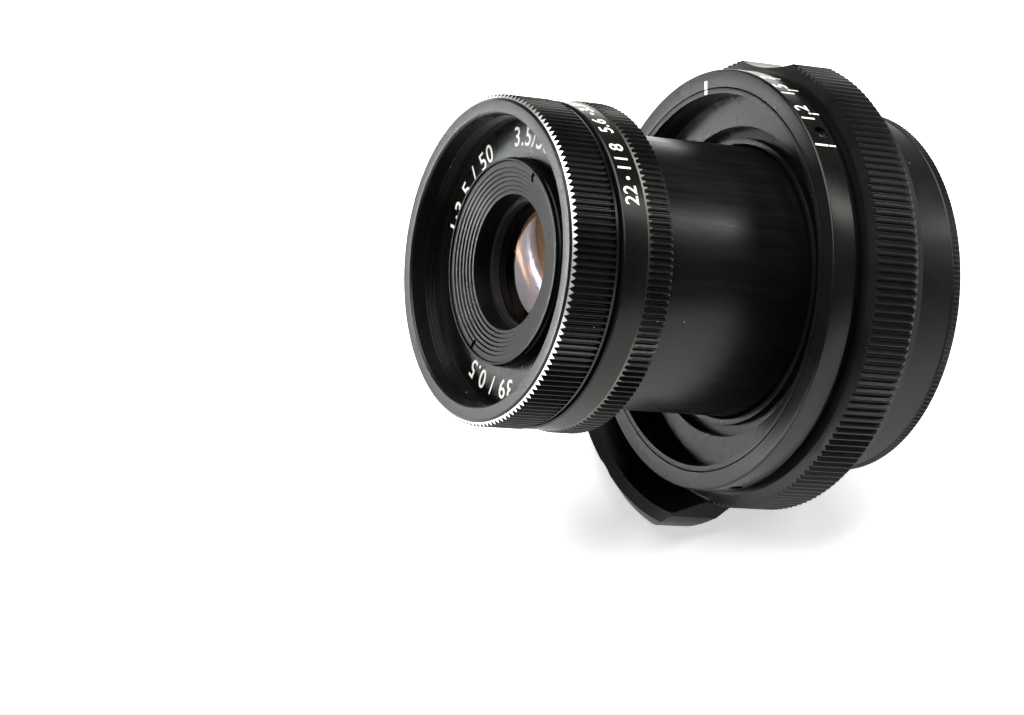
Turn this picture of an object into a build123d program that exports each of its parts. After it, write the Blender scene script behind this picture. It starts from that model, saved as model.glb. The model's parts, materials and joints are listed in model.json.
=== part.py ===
"""Collapsible 50 mm f/3.5 enlarging lens in a focusing bayonet mount, lying on its rear cap and finger tab.

The optical axis lies in the YZ plane: the front of the lens points to -Y and upwards. The origin is the
centre of the bayonet flange's seat. Profiles are drawn as (radius, height) points, where height is measured
along the optical axis, forward of that seat.
"""

import os
from math import atan2, cos, degrees, radians, sin

from build123d import *

os.makedirs("parts", exist_ok=True)

# ---- Fits ----
RUN = 0.05  # radial clearance of turning and sliding fits
FREE = 0.3  # clearance between pieces that pass each other
SEAT = 0.1  # axial play of a turning piece

# ---- Bayonet, rear ----
FLANGE_R = 24.4
FLANGE_T = 1.4
BAYONET_BORE_R = 20.3
BAYONET_R = 21.1
BAYONET_LUG_R = 21.95
BAYONET_LENGTH = 4.2
BAYONET_LUG_T = 1.4
BAYONET_LUG_ARC = 50.0
LUG_COUNT = 3
FLANGE_SCREW_R = 0.8
FLANGE_SCREW_HEAD_R = 1.5
FLANGE_SCREW_COUNT = 4
FLANGE_SCREW_START = 45  # degrees from the right of the lens to the first screw
FLANGE_SCREW_SLOT = 0.4

# ---- Rear cap ----
CAP_R = 25.2
CAP_WALL = 1.9
CAP_FLOOR = 1.2
CAP_REAR = 9.9  # its rear face, behind the seat
CAP_LUG_FRONT = 1.0
CAP_LUG_ARC = 45.0

# ---- Fixed mount body ----
BASE_T = 1.6
SLEEVE_R = 27.4
SLEEVE_WALL = 1.5
SLEEVE_FRONT = 7.0
KEY_WIDTH = 3.0
KEY_HEIGHT = 1.3
KEY_FRONT = 8.4
STOP_PIN_R = 0.5
STOP_PIN_HEIGHT = 1.6

# ---- Focus ring with its finger tab ----
GRIP_R = 31.3
GRIP_REAR = 2.1
GRIP_FRONT = 9.3
GRIP_EDGE = 0.4
FACE_CONE = 0.5  # height of the bevelled front face
FACE_INNER_R = 29.5
RING_REAR_R = 29.6
TAB_R = 35.9
TAB_FRONT = 15.7
TAB_REAR = 10.4
TAB_ROOT = 4.8  # where the tab's back leaves the grip
TAB_BEVEL = 1.4
TAB_WALL = 3.0
TAB_HORN_INNER = 9.0  # degrees from the tab's middle to the horns' inner corners
TAB_HORN_OUTER = 20.0
TAB_FLANK_END = 33.0  # where the flank's hollow runs out on the grip
TAB_HOLLOW_DEPTH = 1.1
FLANK_HOLLOW_R = 7.0
NOTCH_ANGLE = 33.5  # single thumb notch, degrees anticlockwise of the top seen from the front
NOTCH_HALF_ARC = 11.5
NOTCH_DEPTH = 1.45
RETAINER_T = 1.05
RETAINER_BORE_R = 25.0
RETAINER_SCREW_R = 0.55
RETAINER_SCREW_COUNT = 4
RETAINER_SCREW_DEPTH = 2.0
FOCUS_TURN = 70.0  # degrees from infinity to one metre

# ---- Focusing barrel ----
THREAD_R = 24.0  # mean radius of the focusing thread
HELICOID_WALL = 1.7
BARREL_WALL = 2.2
BARREL_REAR = 3.4
BARREL_WEB_T = 1.5
CAM_R = 20.2
CAM_WALL = 0.5
CAM_REAR = 5.0  # behind the seat
SCALE_R = 29.1
SCALE_FRONT = 14.7
SCALE_BAND_REAR = 10.8
SCALE_EDGE = 0.2
NECK_R = 28.0
NECK_REAR = 9.6
RECESS_R = 25.75
RECESS_FLOOR = 10.9
TRIM_OUTER_R = 26.6
TRIM_T = 1.2
TRIM_GROOVE = 0.12
SCALE_SCREW_HEIGHT = 12.3
SCALE_SCREW_R = 1.0
SCALE_SCREW_LENGTH = 1.3
SCALE_SCREW_SUNK = 0.8
SOCKET_SIDES = 6
SCALE_SCREW_CLOCKS = (8.2, 128.2, 248.2)  # clockwise of the top, seen from the front

# ---- Tube guide ----
COLLAR_LIP_R = 19.9
COLLAR_GROOVE_R = 21.5
COLLAR_CHAMFER = 0.35
FRICTION_RING_T = 1.2
FRICTION_RING_R = 20.4
FRICTION_RING_REAR = 6.65
FRICTION_RING_GAP = 8.0  # degrees

# ---- Collapsible tube ----
TUBE_R = 18.7
TUBE_WALL = 1.0
STOP_T = 1.2

# ---- Head ----
HEAD_REAR = 35.2
HEAD_SHOULDER = 35.0
SPIGOT_REAR = 31.0
APERTURE_R = 22.35
BAND_R = 22.05
BAND_EDGE = 0.2
APERTURE_FRONT = 42.8
APERTURE_KNURL_FRONT = 38.45
BAND_REAR = 39.15
BEARING_R = 19.2
HEAD_FLANGE_R = 20.8
FLANGE_PLAY = 0.1
HEAD_FLANGE_REAR = APERTURE_FRONT + FLANGE_PLAY
NAME_SEAT = HEAD_FLANGE_REAR + 2.1
BEZEL_R = 22.15
BEZEL_LIP_R = 21.95
BEZEL_REAR = HEAD_FLANGE_REAR + 0.6
BEZEL_KNURL_REAR = BEZEL_REAR + 0.5
BEZEL_KNURL_FRONT = BEZEL_KNURL_REAR + 6.0
BEZEL_FRONT = BEZEL_KNURL_FRONT + 0.7
BEZEL_RIM_R = 21.3
FILTER_R = 19.5
FILTER_DEPTH = 2.4
NAME_RING_R = 19.3
NAME_RING_T = 0.95
CELL_R = 14.0
CELL_FRONT = NAME_SEAT + 3.0
CELL_REAR = 39.3
OPENING_R = 9.1
OPENING_HEIGHT = CELL_FRONT - 1.2
BAFFLE_FLANGE = 0.8
BAFFLE_FRONT = CELL_FRONT - 0.2
BAFFLE_SKIRT_REAR = CELL_FRONT - 3.8
BAFFLE_R = 12.6
BAFFLE_STEPS = 6
LOCK_RING_R = 13.5
LOCK_SLOT_WIDTH = 0.6
LOCK_SLOT_LENGTH = 1.3
LOCK_SLOT_INSET = 0.25
LOCK_SLOT_DEPTH = 0.6
LOCK_SLOT_ANGLE = 9.0  # degrees anticlockwise of the top
CELL_LEDGE = 0.6

# ---- Glass ----
FRONT_GLASS_R = 9.6
FRONT_GLASS_EDGE = (CELL_FRONT - 7.1, CELL_FRONT - 5.3)
FRONT_GLASS_VERTEX = CELL_FRONT - 3.6
SECOND_GLASS_R = 8.4
SECOND_GLASS_EDGE = (39.7, 40.6)
SECOND_SAG = 0.4
REAR_FACE_SAG = 0.3
REAR_BULGE = 0.7
CEMENT_SAG = 0.6
GLASS_RING_CLEAR = 0.45
GLASS_RING_R = 8.4
REAR_GLASS_R = 8.9
REAR_GLASS_EDGE = (32.4, 34.9)
REAR_CELL_R = 12.5
REAR_CELL_REAR = 31.4

# ---- Iris ----
IRIS_BORE_R = 14.6
BLADE_COUNT = 8
BLADE_OPEN_R = 7.7
BLADE_OUTER_R = 12.2
BLADE_T = 0.08
BLADE_STEP = 0.14
BLADE_ARC = 109.0
BLADE_HEEL = 4.0  # degrees behind the pivot
BLADE_PIVOT_R = 13.4
BLADE_EAR_R = 0.85
BLADE_PIN_R = 0.45
BASE_PLATE_T = 0.7
IRIS_REAR = 35.9
CAM_RING_REAR = 38.0
CAM_RING_WEB_T = 0.4
CAM_RING_RIM_R = 13.2
CAM_RING_FRONT = 39.1
CAM_RING_BORE_R = 9.0
COUPLING_PIN_R = 0.25
COUPLING_PIN_CLOCK = 300.0
APERTURE_TURN = 36.0
CLICK_BALL_R = 0.6
CLICK_HEIGHT = 41.0
CLICK_POCKET_R = 15.4
CLICK_WIRE_R = 0.12
CLICK_TURNS = 4

# ---- Where it rests: on the tab's two horns and the cap's rear edge ----
rest_tilt = degrees(atan2(TAB_R * cos(radians(TAB_HORN_INNER)) - CAP_R, TAB_REAR + CAP_REAR))
axis_direction = Vector(0, -cos(radians(rest_tilt)), sin(radians(rest_tilt)))
optical_axis = Axis((0, 0, 0), axis_direction)
seat_plane = Plane(origin=(0, 0, 0), x_dir=(1, 0, 0), z_dir=axis_direction)


def outwards(clock):
    """The direction away from the optical axis at an angle clockwise of the top, seen from the front."""
    turned = radians(90 - clock)
    return seat_plane.x_dir * cos(turned) + seat_plane.y_dir * sin(turned)


def section_plane(clock=90):
    """The plane through the optical axis at a clock angle: X is the radius, Y the height."""
    away = outwards(clock)
    return Plane(origin=(0, 0, 0), x_dir=away, z_dir=away.cross(axis_direction))


def ring_section(*points, clock=90):
    """A closed outline of (radius, height) points on a section plane."""
    with BuildSketch(section_plane(clock)) as drawn:
        with BuildLine():
            Polyline(*points, close=True)
        make_face()
    return drawn.sketch


def tube_section(inner, outer, rear, front, clock=90):
    """The section of a plain ring."""
    return ring_section((inner, rear), (outer, rear), (outer, front), (inner, front), clock=clock)


def glass_section(radius, rear_vertex, rear_edge, front_edge, front_vertex):
    """Half the section of a lens element with two spherical faces."""
    with BuildSketch(section_plane()) as drawn:
        with BuildLine():
            TangentArc((0, rear_vertex), (radius, rear_edge), tangent=(1, 0))
            Line((radius, rear_edge), (radius, front_edge))
            TangentArc((0, front_vertex), (radius, front_edge), tangent=(1, 0))
            Line((0, front_vertex), (0, rear_vertex))
        make_face()
    return drawn.sketch


def level(height):
    """The plane across the optical axis at a height, with +Y towards the top of the lens."""
    return seat_plane.offset(height)


def radial_plane(clock, radius, height):
    """A plane on a cylinder's surface, facing outwards."""
    away = outwards(clock)
    return Plane(origin=away * radius + axis_direction * height, x_dir=axis_direction, z_dir=away)


def hollow(half_arc, radius, bottom):
    """Centre distance and radius of the cutter that hollows a rim down to its bottom radius."""
    half_width = radius * sin(radians(half_arc))
    depth = radius * cos(radians(half_arc)) - bottom
    cutter = (half_width**2 + depth**2) / (2 * depth)
    return bottom + cutter, cutter


def save(piece, name):
    """Label a finished piece and write its STEP file."""
    piece.part.label = name
    export_step(piece.part, f"parts/{name}.step")


# ================= Fixed mount =================

flange_screw_circle = (BAYONET_R + FLANGE_R) / 2
base_front = FLANGE_T + BASE_T
lug_front = FREE + BAYONET_LUG_T - BAYONET_LENGTH
screw_head_depth = FLANGE_SCREW_HEAD_R - FLANGE_SCREW_R

with BuildPart() as bayonet_flange:
    revolve(tube_section(BAYONET_BORE_R, FLANGE_R, 0, FLANGE_T), axis=optical_axis)
    revolve(tube_section(BAYONET_BORE_R, BAYONET_R, -BAYONET_LENGTH, 0), axis=optical_axis)
    for number in range(LUG_COUNT):
        clock = number * 360 / LUG_COUNT
        lug = tube_section(BAYONET_R - RUN, BAYONET_LUG_R, lug_front - BAYONET_LUG_T, lug_front, clock)
        revolve(lug, axis=optical_axis, revolution_arc=BAYONET_LUG_ARC)
    with BuildSketch(level(0)):
        with PolarLocations(flange_screw_circle, FLANGE_SCREW_COUNT, start_angle=FLANGE_SCREW_START):
            Circle(FLANGE_SCREW_R)
    extrude(amount=FLANGE_T, mode=Mode.SUBTRACT)
    with Locations(level(screw_head_depth / 2)):
        with PolarLocations(flange_screw_circle, FLANGE_SCREW_COUNT, start_angle=FLANGE_SCREW_START):
            Cone(FLANGE_SCREW_HEAD_R, FLANGE_SCREW_R, screw_head_depth, mode=Mode.SUBTRACT)
save(bayonet_flange, "bayonet_flange")

with BuildPart() as mount_body:
    revolve(
        ring_section(
            (BAYONET_BORE_R + FREE, FLANGE_T),
            (SLEEVE_R, FLANGE_T),
            (SLEEVE_R, SLEEVE_FRONT),
            (SLEEVE_R - SLEEVE_WALL, SLEEVE_FRONT),
            (SLEEVE_R - SLEEVE_WALL, base_front),
            (BAYONET_BORE_R + FREE, base_front),
        ),
        axis=optical_axis,
    )
    with BuildSketch(level(FLANGE_T)):
        with PolarLocations(flange_screw_circle, FLANGE_SCREW_COUNT, start_angle=FLANGE_SCREW_START):
            Circle(FLANGE_SCREW_R)
    extrude(amount=BASE_T, mode=Mode.SUBTRACT)
save(mount_body, "mount_body")

with BuildPart() as flange_screws:
    with BuildSketch(level(0)):
        with PolarLocations(flange_screw_circle, FLANGE_SCREW_COUNT, start_angle=FLANGE_SCREW_START):
            Circle(FLANGE_SCREW_R)
    extrude(amount=base_front)
    with Locations(level(screw_head_depth / 2)):
        with PolarLocations(flange_screw_circle, FLANGE_SCREW_COUNT, start_angle=FLANGE_SCREW_START):
            Cone(FLANGE_SCREW_HEAD_R, FLANGE_SCREW_R, screw_head_depth)
    with BuildSketch(level(0)):
        with PolarLocations(flange_screw_circle, FLANGE_SCREW_COUNT, start_angle=FLANGE_SCREW_START):
            Rectangle(2 * FLANGE_SCREW_HEAD_R, FLANGE_SCREW_SLOT)
    extrude(amount=screw_head_depth / 2, mode=Mode.SUBTRACT)
save(flange_screws, "flange_screws")

barrel_inner_r = THREAD_R - BARREL_WALL
key_outer_r = THREAD_R - FREE
key_inner_r = key_outer_r - KEY_HEIGHT
with BuildPart() as guide_key:
    with BuildSketch(level(base_front)):
        with Locations(((key_outer_r + key_inner_r) / 2, 0)):
            Rectangle(KEY_HEIGHT, KEY_WIDTH)
    extrude(amount=KEY_FRONT - base_front)
save(guide_key, "guide_key")

helicoid_bore = THREAD_R + RUN
helicoid_outer_r = helicoid_bore + HELICOID_WALL
stop_pin_circle = (helicoid_bore + helicoid_outer_r) / 2
with BuildPart() as focus_stop_pin:
    with BuildSketch(level(base_front)):
        with Locations((0, stop_pin_circle)):
            Circle(STOP_PIN_R)
    extrude(amount=STOP_PIN_HEIGHT)
save(focus_stop_pin, "focus_stop_pin")

# ================= Focus ring =================

ring_bore = SLEEVE_R + RUN
ring_rear = FLANGE_T - SEAT
retainer_screw_circle = (ring_bore + RING_REAR_R) / 2
horn_side = TAB_R * sin(radians(TAB_HORN_OUTER))
horn_down = -TAB_R * cos(radians(TAB_HORN_OUTER))
flank_side = GRIP_R * sin(radians(TAB_FLANK_END))
flank_down = -GRIP_R * cos(radians(TAB_FLANK_END))
tab_inner_r = TAB_R - TAB_WALL

with BuildPart() as focus_ring:
    revolve(
        ring_section(
            (ring_bore, ring_rear),
            (RING_REAR_R, ring_rear),
            (RING_REAR_R, GRIP_REAR),
            (GRIP_R - GRIP_EDGE, GRIP_REAR),
            (GRIP_R, GRIP_REAR + GRIP_EDGE),
            (GRIP_R, GRIP_FRONT - FACE_CONE),
            (FACE_INNER_R, GRIP_FRONT),
            (ring_bore, GRIP_FRONT),
        ),
        axis=optical_axis,
    )
    revolve(
        ring_section(
            (FACE_INNER_R + FREE, TAB_ROOT),
            (GRIP_R - RUN, TAB_ROOT),
            (GRIP_R + (TAB_R - GRIP_R) / 2, (TAB_ROOT + TAB_REAR) / 2 + FREE),
            (TAB_R, TAB_REAR),
            (TAB_R, TAB_FRONT - TAB_BEVEL),
            (TAB_R - TAB_BEVEL, TAB_FRONT),
            (tab_inner_r, TAB_FRONT - TAB_BEVEL / 2),
            (FACE_INNER_R + TAB_BEVEL, GRIP_FRONT - FREE),
            (FACE_INNER_R + FREE, GRIP_FRONT - FREE),
            clock=180 + TAB_FLANK_END,
        ),
        axis=optical_axis,
        revolution_arc=2 * TAB_FLANK_END,
    )
    middle_r = TAB_R * cos(radians(TAB_HORN_INNER)) - TAB_HOLLOW_DEPTH
    hollow_distance, hollow_r = hollow(TAB_HORN_INNER, TAB_R, middle_r)
    notch_distance, notch_r = hollow(NOTCH_HALF_ARC, GRIP_R, GRIP_R - NOTCH_DEPTH)
    with BuildSketch(level(GRIP_REAR)):
        with PolarLocations(hollow_distance, 1, start_angle=-90):
            Circle(hollow_r)
        with PolarLocations(notch_distance, 1, start_angle=90 + NOTCH_ANGLE):
            Circle(notch_r)
    extrude(amount=TAB_FRONT - GRIP_REAR, mode=Mode.SUBTRACT)
    for side in (-1, 1):
        with BuildSketch(level(GRIP_REAR)):
            with BuildLine():
                RadiusArc(
                    (side * flank_side, flank_down), (side * horn_side, horn_down), side * FLANK_HOLLOW_R
                )
                Polyline(
                    (side * horn_side, horn_down),
                    (side * horn_side, -TAB_R),
                    (side * TAB_R, -TAB_R),
                    (side * TAB_R, flank_down),
                    (side * flank_side, flank_down),
                )
            make_face()
        extrude(amount=TAB_FRONT - GRIP_REAR, mode=Mode.SUBTRACT)
    with BuildSketch(level(ring_rear)):
        with PolarLocations(retainer_screw_circle, RETAINER_SCREW_COUNT):
            Circle(RETAINER_SCREW_R)
    extrude(amount=RETAINER_SCREW_DEPTH, mode=Mode.SUBTRACT)
save(focus_ring, "focus_ring")

helicoid_rear = base_front + SEAT
with BuildPart() as focus_helicoid:
    revolve(
        ring_section(
            (helicoid_bore, helicoid_rear),
            (helicoid_outer_r, helicoid_rear),
            (helicoid_outer_r, SLEEVE_FRONT + SEAT),
            (ring_bore, SLEEVE_FRONT + SEAT),
            (ring_bore, GRIP_FRONT - SEAT),
            (helicoid_bore, GRIP_FRONT - SEAT),
        ),
        axis=optical_axis,
    )
    pin_play = degrees((STOP_PIN_R + SEAT) / stop_pin_circle)
    slot = tube_section(
        stop_pin_circle - STOP_PIN_R - RUN,
        stop_pin_circle + STOP_PIN_R + RUN,
        helicoid_rear,
        base_front + STOP_PIN_HEIGHT + FREE,
        clock=pin_play,
    )
    revolve(slot, axis=optical_axis, revolution_arc=FOCUS_TURN + 2 * pin_play, mode=Mode.SUBTRACT)
save(focus_helicoid, "focus_helicoid")

retainer_rear = ring_rear - RETAINER_T
with BuildPart() as ring_retainer:
    revolve(tube_section(RETAINER_BORE_R, RING_REAR_R, retainer_rear, ring_rear), axis=optical_axis)
    with BuildSketch(level(retainer_rear)):
        with PolarLocations(retainer_screw_circle, RETAINER_SCREW_COUNT):
            Circle(RETAINER_SCREW_R)
    extrude(amount=RETAINER_T, mode=Mode.SUBTRACT)
save(ring_retainer, "ring_retainer")

with BuildPart() as retainer_screws:
    with BuildSketch(level(retainer_rear)):
        with PolarLocations(retainer_screw_circle, RETAINER_SCREW_COUNT):
            Circle(RETAINER_SCREW_R)
    extrude(amount=RETAINER_T + RETAINER_SCREW_DEPTH)
    with BuildSketch(level(retainer_rear)):
        with PolarLocations(retainer_screw_circle, RETAINER_SCREW_COUNT):
            Rectangle(2 * RETAINER_SCREW_R, RETAINER_SCREW_R / 2)
    extrude(amount=RETAINER_SCREW_R / 2, mode=Mode.SUBTRACT)
save(retainer_screws, "retainer_screws")

# ================= Focusing barrel =================

web_front = BARREL_REAR + BARREL_WEB_T
cam_inner_r = CAM_R - CAM_WALL
with BuildPart() as inner_barrel:
    revolve(
        ring_section(
            (cam_inner_r, -CAM_REAR),
            (CAM_R, -CAM_REAR),
            (CAM_R, BARREL_REAR),
            (THREAD_R, BARREL_REAR),
            (THREAD_R, NECK_REAR),
            (barrel_inner_r, NECK_REAR),
            (barrel_inner_r, web_front),
            (cam_inner_r, web_front),
        ),
        axis=optical_axis,
    )
    with BuildSketch(level(BARREL_REAR)):
        with Locations(((key_inner_r + THREAD_R + FREE) / 2 - RUN, 0)):
            Rectangle(THREAD_R + FREE - key_inner_r + 2 * RUN, KEY_WIDTH + 2 * RUN)
    extrude(amount=NECK_REAR - BARREL_REAR, mode=Mode.SUBTRACT)
save(inner_barrel, "inner_barrel")

screw_bottom_r = SCALE_R - SCALE_SCREW_SUNK - SCALE_SCREW_LENGTH
with BuildPart() as scale_barrel:
    revolve(
        ring_section(
            (COLLAR_GROOVE_R, NECK_REAR),
            (NECK_R, NECK_REAR),
            (NECK_R, SCALE_BAND_REAR),
            (SCALE_R - SCALE_EDGE, SCALE_BAND_REAR),
            (SCALE_R, SCALE_BAND_REAR + SCALE_EDGE),
            (SCALE_R, SCALE_FRONT - SCALE_EDGE),
            (SCALE_R - SCALE_EDGE, SCALE_FRONT),
            (TRIM_OUTER_R, SCALE_FRONT),
            (TRIM_OUTER_R, SCALE_FRONT - TRIM_T),
            (RECESS_R, SCALE_FRONT - TRIM_T),
            (RECESS_R, RECESS_FLOOR),
            (COLLAR_GROOVE_R, RECESS_FLOOR),
        ),
        axis=optical_axis,
    )
    for clock in SCALE_SCREW_CLOCKS:
        with BuildSketch(radial_plane(clock, screw_bottom_r, SCALE_SCREW_HEIGHT)):
            Circle(SCALE_SCREW_R)
        extrude(amount=SCALE_R - screw_bottom_r + FREE, mode=Mode.SUBTRACT)
save(scale_barrel, "scale_barrel")

with BuildPart() as scale_screws:
    for clock in SCALE_SCREW_CLOCKS:
        with BuildSketch(radial_plane(clock, screw_bottom_r, SCALE_SCREW_HEIGHT)):
            Circle(SCALE_SCREW_R)
        extrude(amount=SCALE_SCREW_LENGTH)
        with BuildSketch(radial_plane(clock, screw_bottom_r + SCALE_SCREW_LENGTH, SCALE_SCREW_HEIGHT)):
            RegularPolygon(SCALE_SCREW_R / 2, SOCKET_SIDES)
        extrude(amount=-SCALE_SCREW_LENGTH / 2, mode=Mode.SUBTRACT)
save(scale_screws, "scale_screws")

with BuildPart() as trim_ring:
    revolve(
        tube_section(RECESS_R, TRIM_OUTER_R - TRIM_GROOVE, SCALE_FRONT - TRIM_T, SCALE_FRONT),
        axis=optical_axis,
    )
save(trim_ring, "trim_ring")

guide_bore = TUBE_R + RUN
pocket_r = FRICTION_RING_R + RUN
pocket_front = FRICTION_RING_REAR + FRICTION_RING_T + RUN
with BuildPart() as guide_collar:
    revolve(
        ring_section(
            (guide_bore, web_front),
            (barrel_inner_r, web_front),
            (barrel_inner_r, NECK_REAR),
            (COLLAR_LIP_R, NECK_REAR),
            (COLLAR_LIP_R, RECESS_FLOOR),
            (guide_bore + COLLAR_CHAMFER, RECESS_FLOOR),
            (guide_bore, RECESS_FLOOR - COLLAR_CHAMFER),
            (guide_bore, pocket_front),
            (pocket_r, pocket_front),
            (pocket_r, FRICTION_RING_REAR - RUN),
            (guide_bore, FRICTION_RING_REAR - RUN),
        ),
        axis=optical_axis,
    )
save(guide_collar, "guide_collar")

# ================= Tube guide =================

with BuildPart() as friction_ring:
    revolve(
        tube_section(guide_bore, FRICTION_RING_R, FRICTION_RING_REAR, FRICTION_RING_REAR + FRICTION_RING_T),
        axis=optical_axis,
        revolution_arc=360 - FRICTION_RING_GAP,
    )
save(friction_ring, "friction_ring")

# ================= Tube and lens head =================

tube_inner_r = TUBE_R - TUBE_WALL
tube_rear = web_front - SEAT - STOP_T
with BuildPart() as collapsible_tube:
    revolve(tube_section(tube_inner_r, TUBE_R, tube_rear, HEAD_SHOULDER), axis=optical_axis)
save(collapsible_tube, "collapsible_tube")

with BuildPart() as tube_stop_ring:
    revolve(tube_section(TUBE_R, cam_inner_r - FREE, tube_rear, tube_rear + STOP_T), axis=optical_axis)
save(tube_stop_ring, "tube_stop_ring")

slot_height = (CAM_RING_REAR + CAM_RING_WEB_T + CAM_RING_FRONT) / 2
pin_turn_margin = degrees((COUPLING_PIN_R + SEAT) / IRIS_BORE_R)
with BuildPart() as head_barrel:
    revolve(
        ring_section(
            (REAR_CELL_R, SPIGOT_REAR),
            (tube_inner_r, SPIGOT_REAR),
            (tube_inner_r, HEAD_SHOULDER),
            (BEARING_R, HEAD_SHOULDER),
            (BEARING_R, HEAD_FLANGE_REAR),
            (HEAD_FLANGE_R, HEAD_FLANGE_REAR),
            (HEAD_FLANGE_R, NAME_SEAT + NAME_RING_T),
            (NAME_RING_R, NAME_SEAT + NAME_RING_T),
            (NAME_RING_R, NAME_SEAT),
            (CELL_R, NAME_SEAT),
            (CELL_R, CELL_REAR),
            (IRIS_BORE_R, CELL_REAR),
            (IRIS_BORE_R, IRIS_REAR),
            (REAR_CELL_R, IRIS_REAR),
        ),
        axis=optical_axis,
    )
    pin_slot = tube_section(
        IRIS_BORE_R - FREE,
        BEARING_R + FREE,
        slot_height - COUPLING_PIN_R - RUN,
        slot_height + COUPLING_PIN_R + RUN,
        clock=COUPLING_PIN_CLOCK + pin_turn_margin,
    )
    pin_arc = APERTURE_TURN + 2 * pin_turn_margin
    revolve(pin_slot, axis=optical_axis, revolution_arc=pin_arc, mode=Mode.SUBTRACT)
    with BuildSketch(radial_plane(0, CLICK_POCKET_R, CLICK_HEIGHT)):
        Circle(CLICK_BALL_R + RUN)
    extrude(amount=BEARING_R - CLICK_POCKET_R + FREE, mode=Mode.SUBTRACT)
save(head_barrel, "head_barrel")

ball_centre = outwards(0) * (BEARING_R - CLICK_BALL_R) + axis_direction * CLICK_HEIGHT
with BuildPart() as click_ball:
    with Locations(ball_centre):
        Sphere(CLICK_BALL_R)
save(click_ball, "click_ball")

spring_length = BEARING_R - 2 * CLICK_BALL_R - CLICK_POCKET_R - CLICK_WIRE_R - RUN
spring_r = CLICK_BALL_R - CLICK_WIRE_R
spring_base = outwards(0) * (CLICK_POCKET_R + CLICK_WIRE_R) + axis_direction * CLICK_HEIGHT
with BuildPart() as click_spring:
    with BuildLine() as coil:
        Helix(
            spring_length / CLICK_TURNS, spring_length, spring_r, center=spring_base, direction=outwards(0)
        )
    with BuildSketch(Plane(origin=coil.line @ 0, z_dir=coil.line % 0)):
        Circle(CLICK_WIRE_R)
    sweep(path=coil.line)
save(click_spring, "click_spring")

with BuildPart() as front_bezel:
    revolve(
        ring_section(
            (HEAD_FLANGE_R, BEZEL_REAR),
            (BEZEL_LIP_R, BEZEL_REAR),
            (BEZEL_LIP_R, BEZEL_KNURL_REAR),
            (BEZEL_R, BEZEL_KNURL_REAR),
            (BEZEL_R, BEZEL_KNURL_FRONT),
            (BEZEL_RIM_R, BEZEL_FRONT),
            (FILTER_R, BEZEL_FRONT),
            (FILTER_R, BEZEL_FRONT - FILTER_DEPTH),
            (NAME_RING_R, BEZEL_FRONT - FILTER_DEPTH),
            (NAME_RING_R, NAME_SEAT + NAME_RING_T),
            (HEAD_FLANGE_R, NAME_SEAT + NAME_RING_T),
        ),
        axis=optical_axis,
    )
save(front_bezel, "front_bezel")

with BuildPart() as name_ring:
    revolve(tube_section(CELL_R, NAME_RING_R, NAME_SEAT, NAME_SEAT + NAME_RING_T), axis=optical_axis)
save(name_ring, "name_ring")

glass_seat, glass_edge = FRONT_GLASS_EDGE
second_rear, second_front = SECOND_GLASS_EDGE
baffle_seat = OPENING_HEIGHT - BAFFLE_FLANGE
with BuildPart() as front_cell:
    revolve(
        ring_section(
            (SECOND_GLASS_R, CELL_REAR),
            (CELL_R, CELL_REAR),
            (CELL_R, CELL_FRONT),
            (LOCK_RING_R, CELL_FRONT),
            (LOCK_RING_R, baffle_seat),
            (FRONT_GLASS_R, baffle_seat),
            (FRONT_GLASS_R, glass_seat),
            (SECOND_GLASS_R - CELL_LEDGE, glass_seat),
            (SECOND_GLASS_R - CELL_LEDGE, second_front),
            (SECOND_GLASS_R, second_front),
        ),
        axis=optical_axis,
    )
save(front_cell, "front_cell")

step_width = (BAFFLE_R - OPENING_R) / BAFFLE_STEPS
step_drop = (BAFFLE_FRONT - OPENING_HEIGHT) / BAFFLE_STEPS
steps = []
for number in range(BAFFLE_STEPS):
    radius = OPENING_R + number * step_width
    height = OPENING_HEIGHT + number * step_drop
    steps += [(radius, height), (radius + step_width, height)]
with BuildPart() as baffle_ring:
    revolve(
        ring_section(
            *steps,
            (BAFFLE_R, BAFFLE_FRONT),
            (LOCK_RING_R, BAFFLE_FRONT),
            (LOCK_RING_R, baffle_seat),
            (FRONT_GLASS_R, baffle_seat),
            (FRONT_GLASS_R, BAFFLE_SKIRT_REAR),
            (OPENING_R, BAFFLE_SKIRT_REAR),
        ),
        axis=optical_axis,
    )
    with BuildSketch(level(BAFFLE_FRONT)):
        lock_slot_r = (BAFFLE_R + LOCK_RING_R) / 2 - LOCK_SLOT_INSET
        with PolarLocations(lock_slot_r, 2, start_angle=90 + LOCK_SLOT_ANGLE):
            Rectangle(LOCK_SLOT_LENGTH, LOCK_SLOT_WIDTH)
    extrude(amount=-LOCK_SLOT_DEPTH, mode=Mode.SUBTRACT)
save(baffle_ring, "baffle_ring")

with BuildPart() as front_glass_ring:
    revolve(
        ring_section(
            (GLASS_RING_R, glass_edge + GLASS_RING_CLEAR),
            (FRONT_GLASS_R, glass_edge),
            (FRONT_GLASS_R, BAFFLE_SKIRT_REAR),
            (GLASS_RING_R, BAFFLE_SKIRT_REAR),
        ),
        axis=optical_axis,
    )
save(front_glass_ring, "front_glass_ring")

with BuildPart() as front_element:
    revolve(
        glass_section(FRONT_GLASS_R, glass_seat + REAR_FACE_SAG, glass_seat, glass_edge, FRONT_GLASS_VERTEX),
        axis=optical_axis,
    )
save(front_element, "front_element")

with BuildPart() as second_element:
    revolve(
        glass_section(
            SECOND_GLASS_R,
            second_rear + SECOND_SAG,
            second_rear,
            second_front,
            second_front - SECOND_SAG / 2,
        ),
        axis=optical_axis,
    )
save(second_element, "second_element")

with BuildPart() as second_glass_ring:
    revolve(
        tube_section(SECOND_GLASS_R - CELL_LEDGE, SECOND_GLASS_R, CELL_REAR, second_rear), axis=optical_axis
    )
save(second_glass_ring, "second_glass_ring")

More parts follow.
